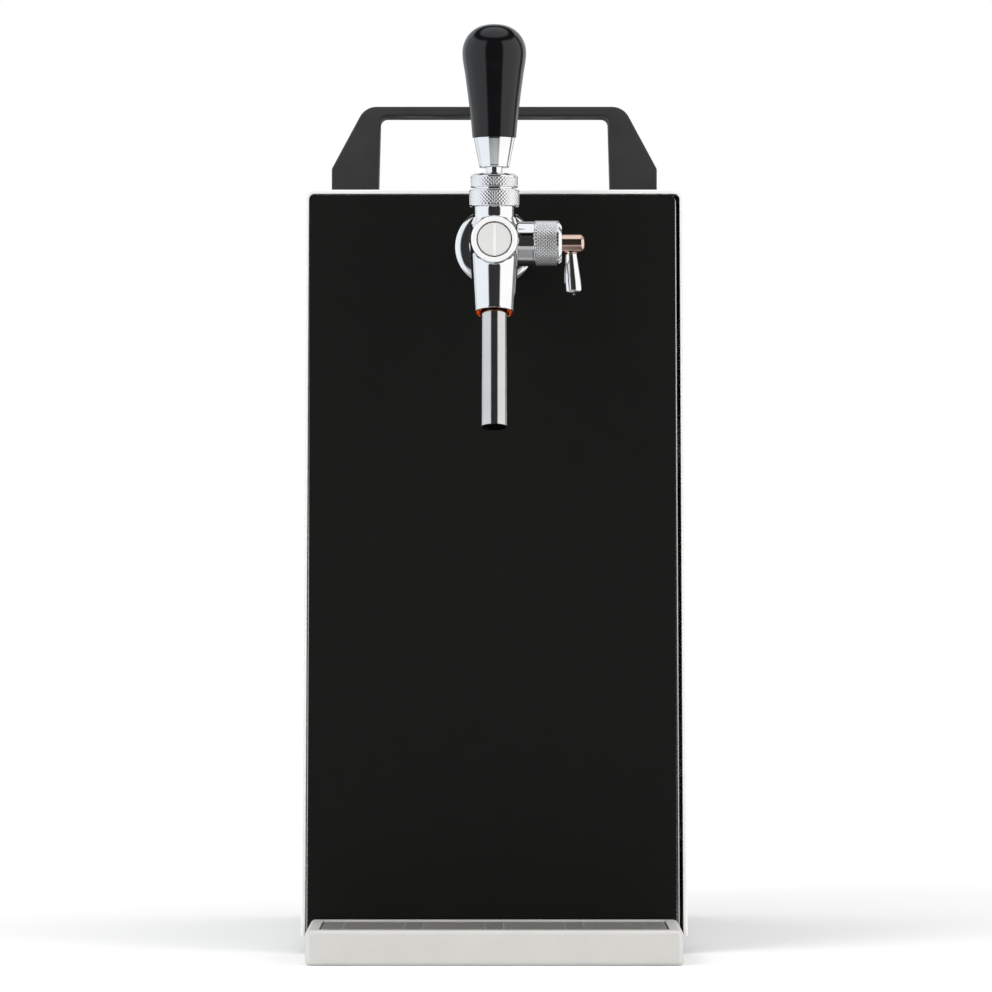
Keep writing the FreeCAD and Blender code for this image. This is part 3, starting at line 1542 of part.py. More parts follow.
def collet(z, port):
    """The release collar in a connector's mouth; pushed in, it lets the tube go."""
    mouth = port + collet_wall
    outline = [(port, fitting_out - collet_length + collet_travel),
               (mouth, fitting_out - collet_length + collet_travel),
               (mouth, collet_rear - collet_flange), (mouth + collet_lip, collet_rear - collet_flange),
               (mouth + collet_lip, collet_rear),
               (port, collet_rear)]
    return turned(outline, V(fitting_x, rear_plane, z), Y_AXIS)


def mains_inlet():
    """The appliance inlet: a flanged shroud with a recess and three flat pins, with nothing plugged in."""
    hw, hh = inlet_half_width, inlet_half_height
    y = rear_plane
    body = block(inlet_x - hw, inlet_x + hw, y - inlet_depth, y, inlet_z - hh, inlet_z + hh)
    flange = block(inlet_x - hw - inlet_flange, inlet_x + hw + inlet_flange, y, y + inlet_flange_thickness,
                   inlet_z - hh - inlet_flange, inlet_z + hh + inlet_flange)
    flange = fillet_where(flange, inlet_flange - over, lambda b: b.YLength > inlet_flange_thickness - near)
    wall = inlet_wall
    well = block(inlet_x - hw + wall, inlet_x + hw - wall, y - inlet_well,
                 y + inlet_flange_thickness + over,
                 inlet_z - hh + wall, inlet_z + hh - wall)
    body = body.fuse(flange).cut(well)
    pins = []
    for dx, dz in ((-inlet_pin_pitch, -inlet_pin_drop), (0, inlet_pin_drop), (inlet_pin_pitch,
                                                                              -inlet_pin_drop)):
        pins.append(block(inlet_x + dx - inlet_pin_width / 2, inlet_x + dx + inlet_pin_width / 2,
                          y - inlet_well - over,
                          y - inlet_well + inlet_pin_length, inlet_z + dz - inlet_pin_height / 2,
                          inlet_z + dz + inlet_pin_height / 2))
    return body.fuse(pins).removeSplitter()


def switch_body():
    """The switch's frame, open for the rocker."""
    hw, hh = rocker_half_width + sheet, rocker_half_height + sheet
    y = rear_plane
    body = block(inlet_x - hw, inlet_x + hw, y - switch_depth, y, switch_z - hh, switch_z + hh)
    flange = block(inlet_x - hw - sheet, inlet_x + hw + sheet, y, y + sheet, switch_z - hh - sheet,
                   switch_z + hh + sheet)
    well = block(inlet_x - rocker_half_width, inlet_x + rocker_half_width, y - rocker_well, y + 2 * sheet,
                 switch_z - rocker_half_height, switch_z + rocker_half_height)
    sockets = rod(rocker_pin_radius + fit_gap, 2 * hw, rocker_pivot() - X_AXIS * hw, X_AXIS)
    return body.fuse(flange).cut(well).cut(sockets).removeSplitter()


def rocker_pivot():
    return V(inlet_x, rear_plane - rocker_pivot_depth, switch_z)


def switch_rocker():
    """The rocker: two sloped faces that meet over its pivot, whose pins turn in the frame's walls."""
    pivot = rocker_pivot()
    half_h = rocker_half_height - rocker_end_clear
    rise = half_h * math.tan(math.radians(rocker_tilt))
    top = rocker_pivot_depth + sheet
    root = rocker_root
    corners = [V(0, -root, -root), V(0, -root, root), V(0, top - root, half_h), V(0, top + rise, half_h),
               V(0, top, 0), V(0, top + rise, -half_h), V(0, top - root, -half_h)]
    face = Part.Face(Part.makePolygon(corners + [corners[0]]))
    rocker = face.extrude(X_AXIS * 2 * (rocker_half_width - seat_gap))
    rocker.translate(pivot - X_AXIS * (rocker_half_width - seat_gap))
    reach = rocker_half_width + sheet - fit_gap
    return rocker.fuse(rod(rocker_pin_radius, 2 * reach, pivot - X_AXIS * reach, X_AXIS))


def thermostat():
    """The control's case behind the rear panel, bored for the knob's shaft."""
    h = thermostat_half
    y = rear_plane - sheet
    body = block(thermostat_x - h, thermostat_x + h, y - thermostat_depth, y, thermostat_z - h,
                 thermostat_z + h)
    body = body.makeFillet(2 * sheet,
                           [edge for edge in body.Edges if edge.BoundBox.YLength > thermostat_depth - over])
    return body.cut(rod(knob_shaft_radius + running, knob_shaft_in + seat_gap + over,
                        V(thermostat_x, y - knob_shaft_in - seat_gap, thermostat_z),
                        Y_AXIS))


def thermostat_knob():
    """The turned knob with a grooved side, a pointer groove and its shaft."""
    start = V(thermostat_x, rear_plane, thermostat_z)
    knob = turned([(0, -sheet - knob_shaft_in), (knob_shaft_radius, -sheet - knob_shaft_in),
                   (knob_shaft_radius, knob_gap), (knob_radius, knob_gap), (knob_radius * knob_top_share,
                                                                            knob_length - sheet),
                   (knob_radius * knob_top_share - sheet, knob_length), (0, knob_length)], start, Y_AXIS)
    pointer = block(-knob_pointer / 2, knob_pointer / 2, knob_length - knob_pointer, knob_length + over, 0,
                    knob_radius)
    pointer.translate(start)
    flutes = []
    for index in range(knob_flutes):
        angle = math.radians(360 * index / knob_flutes + 180 / knob_flutes)
        place = start + V(math.sin(angle), 0,
                          math.cos(angle)) * (knob_radius + knob_flute_radius * knob_flute_rise)
        flutes.append(rod(knob_flute_radius, knob_length + over, place + Y_AXIS * (knob_gap - over),
                          Y_AXIS))
    return knob.cut(pointer).cut(Part.makeCompound(flutes))


def all_parts():
    """Every piece by its name."""
    return {
        "case_shell": case_shell(),
        "front_panel": front_panel(),
        "front_film": front_film(),
        "rear_panel": rear_panel(),
        "base_plate": base_plate(),
        "feet": feet(),
        "carry_handle": carry_handle(),
        "drip_tray": drip_tray(),
        "drip_grate": drip_grate(),
        "tap_body": tap_body(),
        "front_plug": front_plug(),
        "plug_washer": plug_washer(),
        "ball_seal": ball_seal(),
        "neck_nut": neck_nut(),
        "ball_cap": ball_cap(),
        "ball_lever": ball_lever(),
        "handle_ferrule": handle_ferrule(),
        "handle_grip": handle_grip(),
        "tap_spool": tap_spool(),
        "spool_seal": spool_seal(),
        "spout": spout(),
        "spout_seal": spout_seal(),
        "rosette": rosette(),
        "tap_union_nut": tap_union_nut(),
        "tap_shank": tap_shank(),
        "shank_washer": shank_washer(),
        "shank_nut": shank_nut(),
        "compensator_cone": compensator_cone(),
        "compensator_stem": compensator_stem(),
        "compensator_lever": compensator_lever(),
        "compensator_nut": compensator_nut(),
        "handle_screws": handle_screws(),
        "cooler_shelf": cooler_shelf(),
        "insulation": insulation(),
        "cold_block": cold_block(),
        "beer_coil": beer_coil(),
        "evaporator_coil": evaporator_coil(),
        "compressor": compressor(),
        "compressor_mounts": compressor_mounts(),
        "condenser_fins": condenser_fins(),
        "condenser_coil": condenser_coil(),
        "condenser_bracket": condenser_bracket(),
        "fan_shroud": fan_shroud(),
        "fan_motor": fan_motor(),
        "fan_rotor": fan_rotor(),
        "filter_drier": filter_drier(),
        "refrigerant_lines": refrigerant_lines(),
        "air_pump": air_pump(),
        "air_hose": air_hose(),
        "beer_supply_hose": beer_supply_hose(),
        "beer_tap_hose": beer_tap_hose(),
        "beer_inlet": push_fit(fitting_bottom, beer_port_radius),
        "beer_inlet_collet": collet(fitting_bottom, beer_port_radius),
        "air_outlet": push_fit(fitting_bottom + fitting_spacing, air_port_radius),
        "air_outlet_collet": collet(fitting_bottom + fitting_spacing, air_port_radius),
        "mains_inlet": mains_inlet(),
        "switch_body": switch_body(),
        "switch_rocker": switch_rocker(),
        "thermostat": thermostat(),
        "thermostat_knob": thermostat_knob(),
    }


def main():
    os.makedirs("parts", exist_ok=True)
    for name, shape in all_parts().items():
        write(name, shape)


main()
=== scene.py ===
import bmesh
import bpy
import json
import math
import numpy as np
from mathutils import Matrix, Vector


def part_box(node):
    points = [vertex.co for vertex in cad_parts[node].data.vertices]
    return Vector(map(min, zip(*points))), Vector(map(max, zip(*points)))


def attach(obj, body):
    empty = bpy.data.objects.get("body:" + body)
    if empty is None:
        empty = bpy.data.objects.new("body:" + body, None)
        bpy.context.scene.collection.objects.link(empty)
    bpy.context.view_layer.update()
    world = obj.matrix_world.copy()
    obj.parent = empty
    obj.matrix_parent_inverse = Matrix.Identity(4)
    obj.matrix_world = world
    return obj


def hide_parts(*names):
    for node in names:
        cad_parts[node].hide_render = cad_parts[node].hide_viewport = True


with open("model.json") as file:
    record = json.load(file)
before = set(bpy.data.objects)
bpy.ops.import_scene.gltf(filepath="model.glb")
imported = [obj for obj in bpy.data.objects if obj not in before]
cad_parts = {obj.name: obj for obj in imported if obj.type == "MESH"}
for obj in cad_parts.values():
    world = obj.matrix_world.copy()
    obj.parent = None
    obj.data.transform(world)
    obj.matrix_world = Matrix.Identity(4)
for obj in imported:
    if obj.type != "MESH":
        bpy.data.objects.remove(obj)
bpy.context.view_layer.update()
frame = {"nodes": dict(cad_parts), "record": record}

# A counter-top beer cooler with a compensator tap. Metres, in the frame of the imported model: Z up, the tap
# and drip tray face -Y, X to the right. The turned pieces' profiles are in millimetres.

mm = 0.001
node_body = {node: body for body, nodes in frame["record"]["behaviour"]["bodies"].items() for node in nodes}
node_slot = {part["node"]: part["material_slot"] for part in frame["record"]["subparts"]}

# Photograph's view, in the photograph's own pixels
photo_width = 992
photo_horizon = 575.0
photo_centre = 494.3
front_scale = 0.5065 * mm
camera_distance = 3.1
camera_height = 0.1918
sensor_width = 36.0

# Places read from the frame
case_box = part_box("case_shell")
case_front = case_box[0].y
grip_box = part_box("handle_grip")
barrel_y = (grip_box[0].y + grip_box[1].y) / 2
plug_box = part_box("front_plug")
tap_z = (plug_box[0].z + plug_box[1].z) / 2


# Mesh making

def mesh_piece(name, points, quads, smooth_angle=35.0):
    """A mesh object at the origin from point and face arrays, with its doubles merged."""
    mesh = bpy.data.meshes.new(name)
    mesh.from_pydata(np.asarray(points).tolist(), [], np.asarray(quads).tolist() if len(quads) else [])
    piece = bpy.data.objects.new(name, mesh)
    bpy.context.scene.collection.objects.link(piece)
    tidy_mesh(piece, smooth_angle)
    return piece


def tidy_mesh(piece, smooth_angle):
    """Merges doubles, turns faces outwards and shades smooth up to an angle."""
    work = bmesh.new()
    work.from_mesh(piece.data)
    bmesh.ops.remove_doubles(work, verts=work.verts, dist=1e-6)
    bmesh.ops.recalc_face_normals(work, faces=work.faces)
    work.to_mesh(piece.data)
    work.free()
    piece.data.polygons.foreach_set("use_smooth", np.ones(len(piece.data.polygons), bool))
    piece.data.set_sharp_from_angle(angle=math.radians(smooth_angle))
    piece.data.update()


def grid_faces(rows, columns, wrap):
    """Quads of a rows by columns grid of points; wrap joins the last column to the first."""
    r = np.arange(rows - 1)[:, None]
    c = np.arange(columns if wrap else columns - 1)[None, :]
    n = (c + 1) % columns
    corners = [r * columns + c, r * columns + n, (r + 1) * columns + n, (r + 1) * columns + c]
    return np.stack(corners, axis=-1).reshape(-1, 4)


def turned(name, profile, centre, axis, around=96, relief=None, smooth_angle=35.0):
    """A turned piece: at height t of the profile the radius is r, carried round the axis.

    profile is rows of (r, t) in millimetres. relief, where given, takes arrays of turn angle and height
    and returns what to add to the radius."""
    profile = np.asarray(profile, float)
    axis = np.asarray(axis, float) / np.linalg.norm(axis)
    helper = np.array([1.0, 0, 0]) if abs(axis[0]) < 0.5 else np.array([0, 0, 1.0])
    u = helper - axis * helper.dot(axis)
    u = u / np.linalg.norm(u)
    v = np.cross(axis, u)
    angle = np.linspace(0, 2 * np.pi, around, endpoint=False)[None, :]
    radius = profile[:, 0][:, None] + np.zeros_like(angle)
    height = profile[:, 1][:, None] + np.zeros_like(angle)
    if relief is not None:
        radius = radius + relief(angle + np.zeros_like(radius), height, radius)
    points = (np.asarray(centre)[None, None, :]
              + (radius * np.cos(angle) * mm)[..., None] * u + (radius * np.sin(angle) * mm)[..., None] * v
              + (height * mm)[..., None] * axis)
    return mesh_piece(name, points.reshape(-1, 3), grid_faces(len(profile), around, True), smooth_angle)


def rounded(corners, radius, steps=5):
    """A profile whose corners are replaced by arcs: each corner's arc touches both its sides.

    corners are (r, t) or (r, t, own radius)."""
    out = []
    count = len(corners)
    for i, corner in enumerate(corners):
        here = np.array(corner[:2], float)
        own = corner[2] if len(corner) > 2 else radius
        if i in (0, count - 1) or own <= 0:
            out.append(here)
            continue
        a = np.array(corners[i - 1][:2], float) - here
        b = np.array(corners[i + 1][:2], float) - here
        la, lb = np.linalg.norm(a), np.linalg.norm(b)
        a, b = a / la, b / lb
        half = math.acos(np.clip(a.dot(b), -1, 1)) / 2
        if half > math.pi / 2 - 0.02:
            out.append(here)
            continue
        reach = min(own / math.tan(half), la * 0.49, lb * 0.49)
        real = reach * math.tan(half)
        middle = here + (a + b) / np.linalg.norm(a + b) * (real / math.sin(half))
        start = here + a * reach - middle
        end = here + b * reach - middle
        sweep = math.atan2(start[0] * end[1] - start[1] * end[0], start.dot(end))
        for k in range(steps + 1):
            turn = sweep * k / steps
            c, s = math.cos(turn), math.sin(turn)
            out.append(middle + np.array([start[0] * c - start[1] * s, start[0] * s + start[1] * c]))
    return np.array(out)


def smooth_copy(node, angle=32.0):
    """A copy of a CAD node with its doubles merged and its round faces shaded smooth."""
    source = frame["nodes"][node]
    piece = bpy.data.objects.new(node + "_finished", source.data.copy())
    bpy.context.scene.collection.objects.link(piece)
    piece.data.materials.clear()
    for attribute in [a.name for a in piece.data.attributes if a.name == "custom_normal"]:
        piece.data.attributes.remove(piece.data.attributes[attribute])
    tidy_mesh(piece, angle)
    return piece


def stands_for(piece, material, *nodes):
    """Puts a new piece on the body of the nodes that it replaces and its material."""
    piece.data.materials.clear()
    piece.data.materials.append(material)
    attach(piece, node_body[nodes[0]])
    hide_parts(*nodes)
    return piece


# Materials

def new_material(name):
    """A material with its surface shader; gives the material, its tree and the shader."""
    material = bpy.data.materials.new(name)
    material.use_nodes = True
    tree = material.node_tree
    return material, tree, tree.nodes["Principled BSDF"]


def link(tree, source, target):
    tree.links.new(source, target)


def add(tree, kind, **settings):
    """A node with its settings; names with a double underscore set the input of that number."""
    made = tree.nodes.new(kind)
    for key, value in settings.items():
        if key.startswith("in__"):
            made.inputs[int(key[4:])].default_value = value
        else:
            setattr(made, key, value)
    return made


def grain(tree, stretch, scale, detail=4.0):
    """Noise on object coordinates, stretched along the axes by the given factors; about 0.5 on average."""
    place = add(tree, "ShaderNodeTexCoord")
    mapping = add(tree, "ShaderNodeMapping")
    mapping.inputs["Scale"].default_value = stretch
    link(tree, place.outputs["Object"], mapping.inputs["Vector"])
    noise = add(tree, "ShaderNodeTexNoise")
    noise.inputs["Scale"].default_value = scale
    noise.inputs["Detail"].default_value = detail
    link(tree, mapping.outputs["Vector"], noise.inputs["Vector"])
    return noise.outputs["Fac"]


def spread(tree, source, low, high):
    """Maps noise from its usual 0.3 to 0.7 onto low to high."""
    ramp = add(tree, "ShaderNodeMapRange")
    ramp.inputs["From Min"].default_value = 0.3
    ramp.inputs["From Max"].default_value = 0.7
    ramp.inputs["To Min"].default_value = low
    ramp.inputs["To Max"].default_value = high
    link(tree, source, ramp.inputs["Value"])
    return ramp.outputs["Result"]


def shade(tree, colour, source, amount):
    """The colour made darker and lighter by up to amount, after the noise."""
    mix = add(tree, "ShaderNodeMix", data_type="RGBA")
    mix.inputs[6].default_value = (*[c * (1 - amount) for c in colour], 1)
    mix.inputs[7].default_value = (*[min(c * (1 + amount), 1) for c in colour], 1)
    link(tree, spread(tree, source, 0, 1), mix.inputs[0])
    return mix.outputs[2]


def relief(tree, source, height, shader):
    """Bumps the surface by height metres after the noise."""
    bump = add(tree, "ShaderNodeBump")
    bump.inputs["Strength"].default_value = 1.0
    bump.inputs["Distance"].default_value = height
    link(tree, source, bump.inputs["Height"])
    link(tree, bump.outputs["Normal"], shader.inputs["Normal"])


def plain(name, colour, rough, metallic=0.0, stretch=(1, 1, 1), fine=900.0, height=0.0, vary=0.06,
          coarse=60.0, rough_vary=0.25, specular=0.5):
    """A surface whose colour, gloss and relief all vary a little by noise.

    stretch draws the grain out along an axis where its factor is small."""
    material, tree, shader = new_material(name)
    wear = grain(tree, (1, 1, 1), coarse, 3.0)
    grains = grain(tree, stretch, fine)
    link(tree, shade(tree, colour, wear, vary), shader.inputs["Base Color"])
    link(tree, spread(tree, grains if metallic else wear, rough * (1 - rough_vary), rough * (1 + rough_vary)),
         shader.inputs["Roughness"])
    shader.inputs["Metallic"].default_value = metallic
    shader.inputs["Specular IOR Level"].default_value = specular
    if height:
        relief(tree, grains, height, shader)
    return material


along_y = (1.0, 0.02, 1.0)
along_x = (0.02, 1.0, 1.0)
micron = 1e-6

materials = {
    "steel_panel": plain("satin steel", (0.66, 0.655, 0.64), 0.26, 1.0, along_x, 1400.0, 1.5 * micron,
                         0.03),
    "steel_tray": plain("brushed steel", (0.70, 0.69, 0.665), 0.36, 0.8, along_x, 1300.0, 3.0 * micron,
                        0.02),
    "film": plain("black film", (0.0082, 0.0082, 0.0076), 0.42, fine=1500.0, height=0.6 * micron,
                  vary=0.015, rough_vary=0.06, specular=0.09),
    "handle_plastic": plain("handle plastic", (0.037, 0.036, 0.036), 0.62, fine=2600.0,
                            height=8 * micron, vary=0.08, specular=0.25),
    "grip_plastic": plain("grip plastic", (0.0045, 0.0045, 0.0050), 0.10, fine=300.0,
                          height=0.5 * micron, vary=0.1, rough_vary=0.3, specular=0.45),
    "chrome": plain("chrome", (0.93, 0.93, 0.93), 0.06, 1.0, fine=500.0, height=0.5 * micron, vary=0.03,
                    rough_vary=0.5),
    "plug_metal": plain("satin metal", (0.69, 0.685, 0.67), 0.5, 0.15, fine=900.0, height=0.2 * micron,
                        vary=0.03),
    "spout_steel": plain("drawn steel", (0.67, 0.66, 0.645), 0.12, 1.0, (1, 1, 0.03), 900.0,
                         1.5 * micron, 0.04),
    "rubber": plain("black rubber", (0.018, 0.018, 0.018), 0.7, fine=1800.0, height=10 * micron,
                    vary=0.15),
    "galvanised": plain("galvanised steel", (0.52, 0.535, 0.545), 0.34, 1.0, fine=420.0,
                        height=3 * micron, vary=0.12, coarse=170.0),
    "foam": plain("foam", (0.78, 0.70, 0.50), 0.85, fine=1600.0, height=60 * micron, vary=0.08),
    "aluminium": plain("cast aluminium", (0.72, 0.72, 0.73), 0.36, 1.0, fine=1500.0, height=5 * micron,
                       vary=0.05),
    "copper": plain("copper tube", (0.72, 0.33, 0.19), 0.26, 1.0, fine=500.0, height=2 * micron,
                    vary=0.14),
    "black_paint": plain("black enamel", (0.012, 0.012, 0.013), 0.32, fine=700.0, height=6 * micron,
                         vary=0.12),
    "fan_plastic": plain("fan plastic", (0.020, 0.020, 0.022), 0.48, fine=1500.0, height=6 * micron,
                         vary=0.10),
    "pump_plastic": plain("pump plastic", (0.16, 0.17, 0.18), 0.5, fine=1600.0, height=8 * micron,
                          vary=0.06),
    "hose": plain("hose", (0.50, 0.52, 0.52), 0.35, fine=900.0, height=3 * micron, vary=0.07),
    "fitting_plastic": plain("fitting plastic", (0.62, 0.62, 0.60), 0.42, fine=1500.0, height=5 * micron,
                             vary=0.05),
    "inlet_plastic": plain("socket plastic", (0.016, 0.016, 0.017), 0.5, fine=1700.0, height=8 * micron,
                           vary=0.1),
    "knob_plastic": plain("knob plastic", (0.022, 0.022, 0.024), 0.45, fine=1600.0, height=8 * micron,
                          vary=0.1),
}


# Masks on a material's surface

def ramp(tree, source, start, end, low=0.0, high=1.0):
    """A smooth step of a value from low to high between start and end."""
    step = add(tree, "ShaderNodeMapRange", interpolation_type="SMOOTHSTEP")
    for name, value in (("From Min", start), ("From Max", end), ("To Min", low), ("To Max", high)):
        step.inputs[name].default_value = value
    link(tree, source, step.inputs["Value"])
    return step.outputs["Result"]


def combine(tree, operation, a, b):
    """A math node on two sockets, or on a socket and a number."""
    made = add(tree, "ShaderNodeMath", operation=operation)
    for slot, value in ((0, a), (1, b)):
        if isinstance(value, (int, float)):
            made.inputs[slot].default_value = value
        else:
            link(tree, value, made.inputs[slot])
    return made.outputs[0]


def blend(tree, factor, low, high):
    """A value that goes from low to high with the factor; each may be a socket or a number."""
    mix = add(tree, "ShaderNodeMix", data_type="FLOAT")
    for slot, value in (("Factor", factor), ("A", low), ("B", high)):
        if isinstance(value, (int, float)):
            mix.inputs[slot].default_value = value
        else:
            link(tree, value, mix.inputs[slot])
    return mix.outputs["Result"]


def placed(tree, centre):
    """Object position less a centre, as a vector and as its three parts."""
    away = add(tree, "ShaderNodeVectorMath", operation="SUBTRACT")
    link(tree, add(tree, "ShaderNodeTexCoord").outputs["Object"], away.inputs[0])
    away.inputs[1].default_value = centre
    parts = add(tree, "ShaderNodeSeparateXYZ")
    link(tree, away.outputs["Vector"], parts.inputs[0])
    return away.outputs["Vector"], parts.outputs


def along_and_away(tree, vector, axis):
    """How far a vector reaches along an axis, and how far it lies from it."""
    along = add(tree, "ShaderNodeVectorMath", operation="DOT_PRODUCT")
    across = add(tree, "ShaderNodeVectorMath", operation="CROSS_PRODUCT")
    length = add(tree, "ShaderNodeVectorMath", operation="LENGTH")
    for made in (along, across):
        link(tree, vector, made.inputs[0])
        made.inputs[1].default_value = axis
    link(tree, across.outputs["Vector"], length.inputs[0])
    return along.outputs["Value"], length.outputs["Value"]


def tinted(material, mask, colour):
    """Lays a colour over a material's own where the mask is 1."""
    tree = material.node_tree
    slot = tree.nodes["Principled BSDF"].inputs["Base Color"]
    under = slot.links[0].from_socket
    mix = add(tree, "ShaderNodeMix", data_type="RGBA")
    link(tree, mask, mix.inputs["Factor"])
    link(tree, under, mix.inputs["A"])
    mix.inputs["B"].default_value = (*colour, 1)
    link(tree, mix.outputs["Result"], slot)


def dulled(material, mask, rough, metallic):
    """Gives a material another gloss and metal share where the mask is 1."""
    tree = material.node_tree
    shader = tree.nodes["Principled BSDF"]
    own = shader.inputs["Roughness"].links[0].from_socket
    link(tree, blend(tree, mask, own, rough), shader.inputs["Roughness"])
    metal_share = shader.inputs["Metallic"].default_value
    link(tree, blend(tree, mask, metal_share, metallic), shader.inputs["Metallic"])


def casting_chrome(centre, lean):
    """Chrome with a satin front ring and brass showing in the mouth of the cone."""
    material = plain("cast chrome", (0.93, 0.93, 0.93), 0.06, 1.0, fine=500.0, height=0.5 * micron, vary=0.03,
                     rough_vary=0.5)
    tree = material.node_tree
    vector = placed(tree, centre)[0]
    ahead, aside = along_and_away(tree, vector, forward)
    ring_face, ring_rim = (16.55 * mm, 16.75 * mm), (11.3 * mm, 11.5 * mm)
    ring = combine(tree, "MULTIPLY", ramp(tree, ahead, *ring_face), ramp(tree, aside, *ring_rim, 1.0, 0.0))
    dulled(material, ring, 0.42, 0.25)
    along, away = along_and_away(tree, vector, lean)
    mouth_start, mouth_rim = (33.6 * mm, 34.2 * mm), (9.5 * mm, 9.8 * mm)
    mouth = combine(tree, "MULTIPLY", ramp(tree, along, *mouth_start), ramp(tree, away, *mouth_rim, 1.0, 0.0))
    tinted(material, mouth, (0.80, 0.34, 0.14))
    return material


def case_steel():
    """Polished sheet whose rolled front hem is finer, with a painted highlight: the hem is painted paler and
    less metallic.
    """
    material = plain("polished steel", (0.66, 0.655, 0.64), 0.27, 1.0, along_y, 1400.0, 1.6 * micron, 0.015,
                     coarse=25.0, rough_vary=0.12)
    tree = material.node_tree
    # Painted highlight: a pale, less metallic band along the rolled front hem stands in for the light on its
    # rounded edge.
    painted_highlight_hem = ramp(tree, placed(tree, (0, case_front, 0))[1][1], 1.6 * mm, 2.0 * mm, 1.0, 0.0)
    tinted(material, painted_highlight_hem, (0.90, 0.90, 0.89))
    dulled(material, painted_highlight_hem, 0.3, 0.15)
    return material


def plug_with_painted_slot():
    """Satin plug whose slot is painted paler than its face: painted light that lifts the shade in the slot.
    """
    material = plain("plug with painted slot light", (0.69, 0.685, 0.67), 0.5, 0.15, fine=900.0, height=0.2 * micron,
                     vary=0.03)
    tree = material.node_tree
    # Painted light: the slot's colour is lifted to near white and stands in for light in the slot instead of
    # its shade.
    slot = ramp(tree, placed(tree, (0, plug_box[0].y, 0))[1][1], 0.3 * mm, 0.5 * mm)
    tinted(material, slot, (0.98, 0.98, 0.97))
    dulled(material, slot, 0.5, 0.0)
    return material


materials["steel_case"] = case_steel()
plug_painted_slot_light = plug_with_painted_slot()
tray_steel = plain("brushed tray steel", (0.66, 0.65, 0.62), 0.45, 0.2, along_x, 1300.0, 1.0 * micron, 0.02)
coppery = plain("coppery plating", (0.80, 0.58, 0.48), 0.10, 1.0, fine=500.0, height=0.5 * micron, vary=0.05)


# Studio

def degrees(start, end):
    """Two angles in degrees, as radians."""
    return math.radians(start), math.radians(end)


def studio_world():
    """White all round for the camera and for soft light.

    Polished parts see a studio instead: a soft box on each side, one above, dark gaps between them and a dark
    band behind the camera with a grey table below it."""
    world = bpy.data.worlds.new("studio")
    bpy.context.scene.world = world
    world.use_nodes = True
    tree = world.node_tree
    background = tree.nodes["Background"]
    split = add(tree, "ShaderNodeSeparateXYZ")
    link(tree, add(tree, "ShaderNodeTexCoord").outputs["Generated"], split.inputs[0])
    x, y, z = split.outputs
    turn = combine(tree, "ABSOLUTE", combine(tree, "ARCTAN2", x, combine(tree, "MULTIPLY", y, -1.0)), 0.0)
    dark_band_end, rear_fade = degrees(28, 37), degrees(130, 165)
    gap_start, gap_end = degrees(108, 114), degrees(124, 132)
    on_right = ramp(tree, x, -0.15, 0.15)
    aside = ramp(tree, turn, *dark_band_end)
    gap = combine(tree, "MULTIPLY", ramp(tree, turn, *gap_start), ramp(tree, turn, *gap_end, 1.0, 0.0))
    boxes = blend(tree, on_right, 0.97, 1.05)
    boxes = blend(tree, combine(tree, "MULTIPLY", gap, blend(tree, on_right, 0.2, 0.85)), boxes, 0.04)
    boxes = combine(tree, "MULTIPLY", boxes, ramp(tree, turn, *rear_fade, 1.0, 0.7))
    ahead = ramp(tree, z, -0.30, -0.24, 0.50, 0.03)
    level = blend(tree, aside, ahead, boxes)
    level = combine(tree, "MULTIPLY", level, ramp(tree, z, 0.60, 0.70, 1.0, 0.03))
    low = blend(tree, on_right, 0.45, 0.12)
    level = blend(tree, ramp(tree, z, -0.62, -0.45), low, level)
    level = combine(tree, "MAXIMUM", level, ramp(tree, z, 0.80, 0.88, 0.0, 1.0))
    white = blend(tree, add(tree, "ShaderNodeLightPath").outputs["Is Glossy Ray"], 1.0, level)
    tint = add(tree, "ShaderNodeMix", data_type="RGBA")
    tint.inputs["A"].default_value = (0.90, 0.95, 1.0, 1)
    tint.inputs["B"].default_value = (1, 1, 1, 1)
    pale = combine(tree, "MAXIMUM", on_right,
                   combine(tree, "SUBTRACT", 1.0, tree.nodes["Light Path"].outputs["Is Glossy Ray"]))
    link(tree, pale, tint.inputs["Factor"])
    link(tree, tint.outputs["Result"], background.inputs["Color"])
    link(tree, white, background.inputs["Strength"])


def area_light(name, place, aim, size, power):
    """A square soft light at a place, turned to its aim."""
    lamp = bpy.data.lights.new(name, "AREA")
    lamp.shape = "SQUARE"
    lamp.size = size
    lamp.energy = power
    holder = bpy.data.objects.new(name, lamp)
    holder.location = place
    holder.rotation_euler = (Vector(aim) - Vector(place)).to_track_quat("-Z", "Y").to_euler()
    holder.visible_glossy = False
    bpy.context.scene.collection.objects.link(holder)


def floor_material():
    """Pale and matt near the object, pure white far off, and clear to reflections."""
    material, tree, shader = new_material("pale floor")
    shader.inputs["Base Color"].default_value = (0.95, 0.95, 0.95, 1)
    shader.inputs["Specular IOR Level"].default_value = 0.0
    link(tree, spread(tree, grain(tree, (1, 1, 1), 2.0), 0.85, 0.95), shader.inputs["Roughness"])
    away = add(tree, "ShaderNodeVectorMath", operation="LENGTH")
    link(tree, add(tree, "ShaderNodeTexCoord").outputs["Object"], away.inputs[0])
    white = add(tree, "ShaderNodeEmission")
    far = add(tree, "ShaderNodeMixShader")
    link(tree, ramp(tree, away.outputs["Value"], 0.5, 1.3), far.inputs[0])
    link(tree, shader.outputs[0], far.inputs[1])
    link(tree, white.outputs[0], far.inputs[2])
    clear = add(tree, "ShaderNodeMixShader")
    link(tree, add(tree, "ShaderNodeLightPath").outputs["Is Glossy Ray"], clear.inputs[0])
    link(tree, far.outputs[0], clear.inputs[1])
    link(tree, add(tree, "ShaderNodeBsdfTransparent").outputs[0], clear.inputs[2])
    link(tree, clear.outputs[0], tree.nodes["Material Output"].inputs["Surface"])
    return material


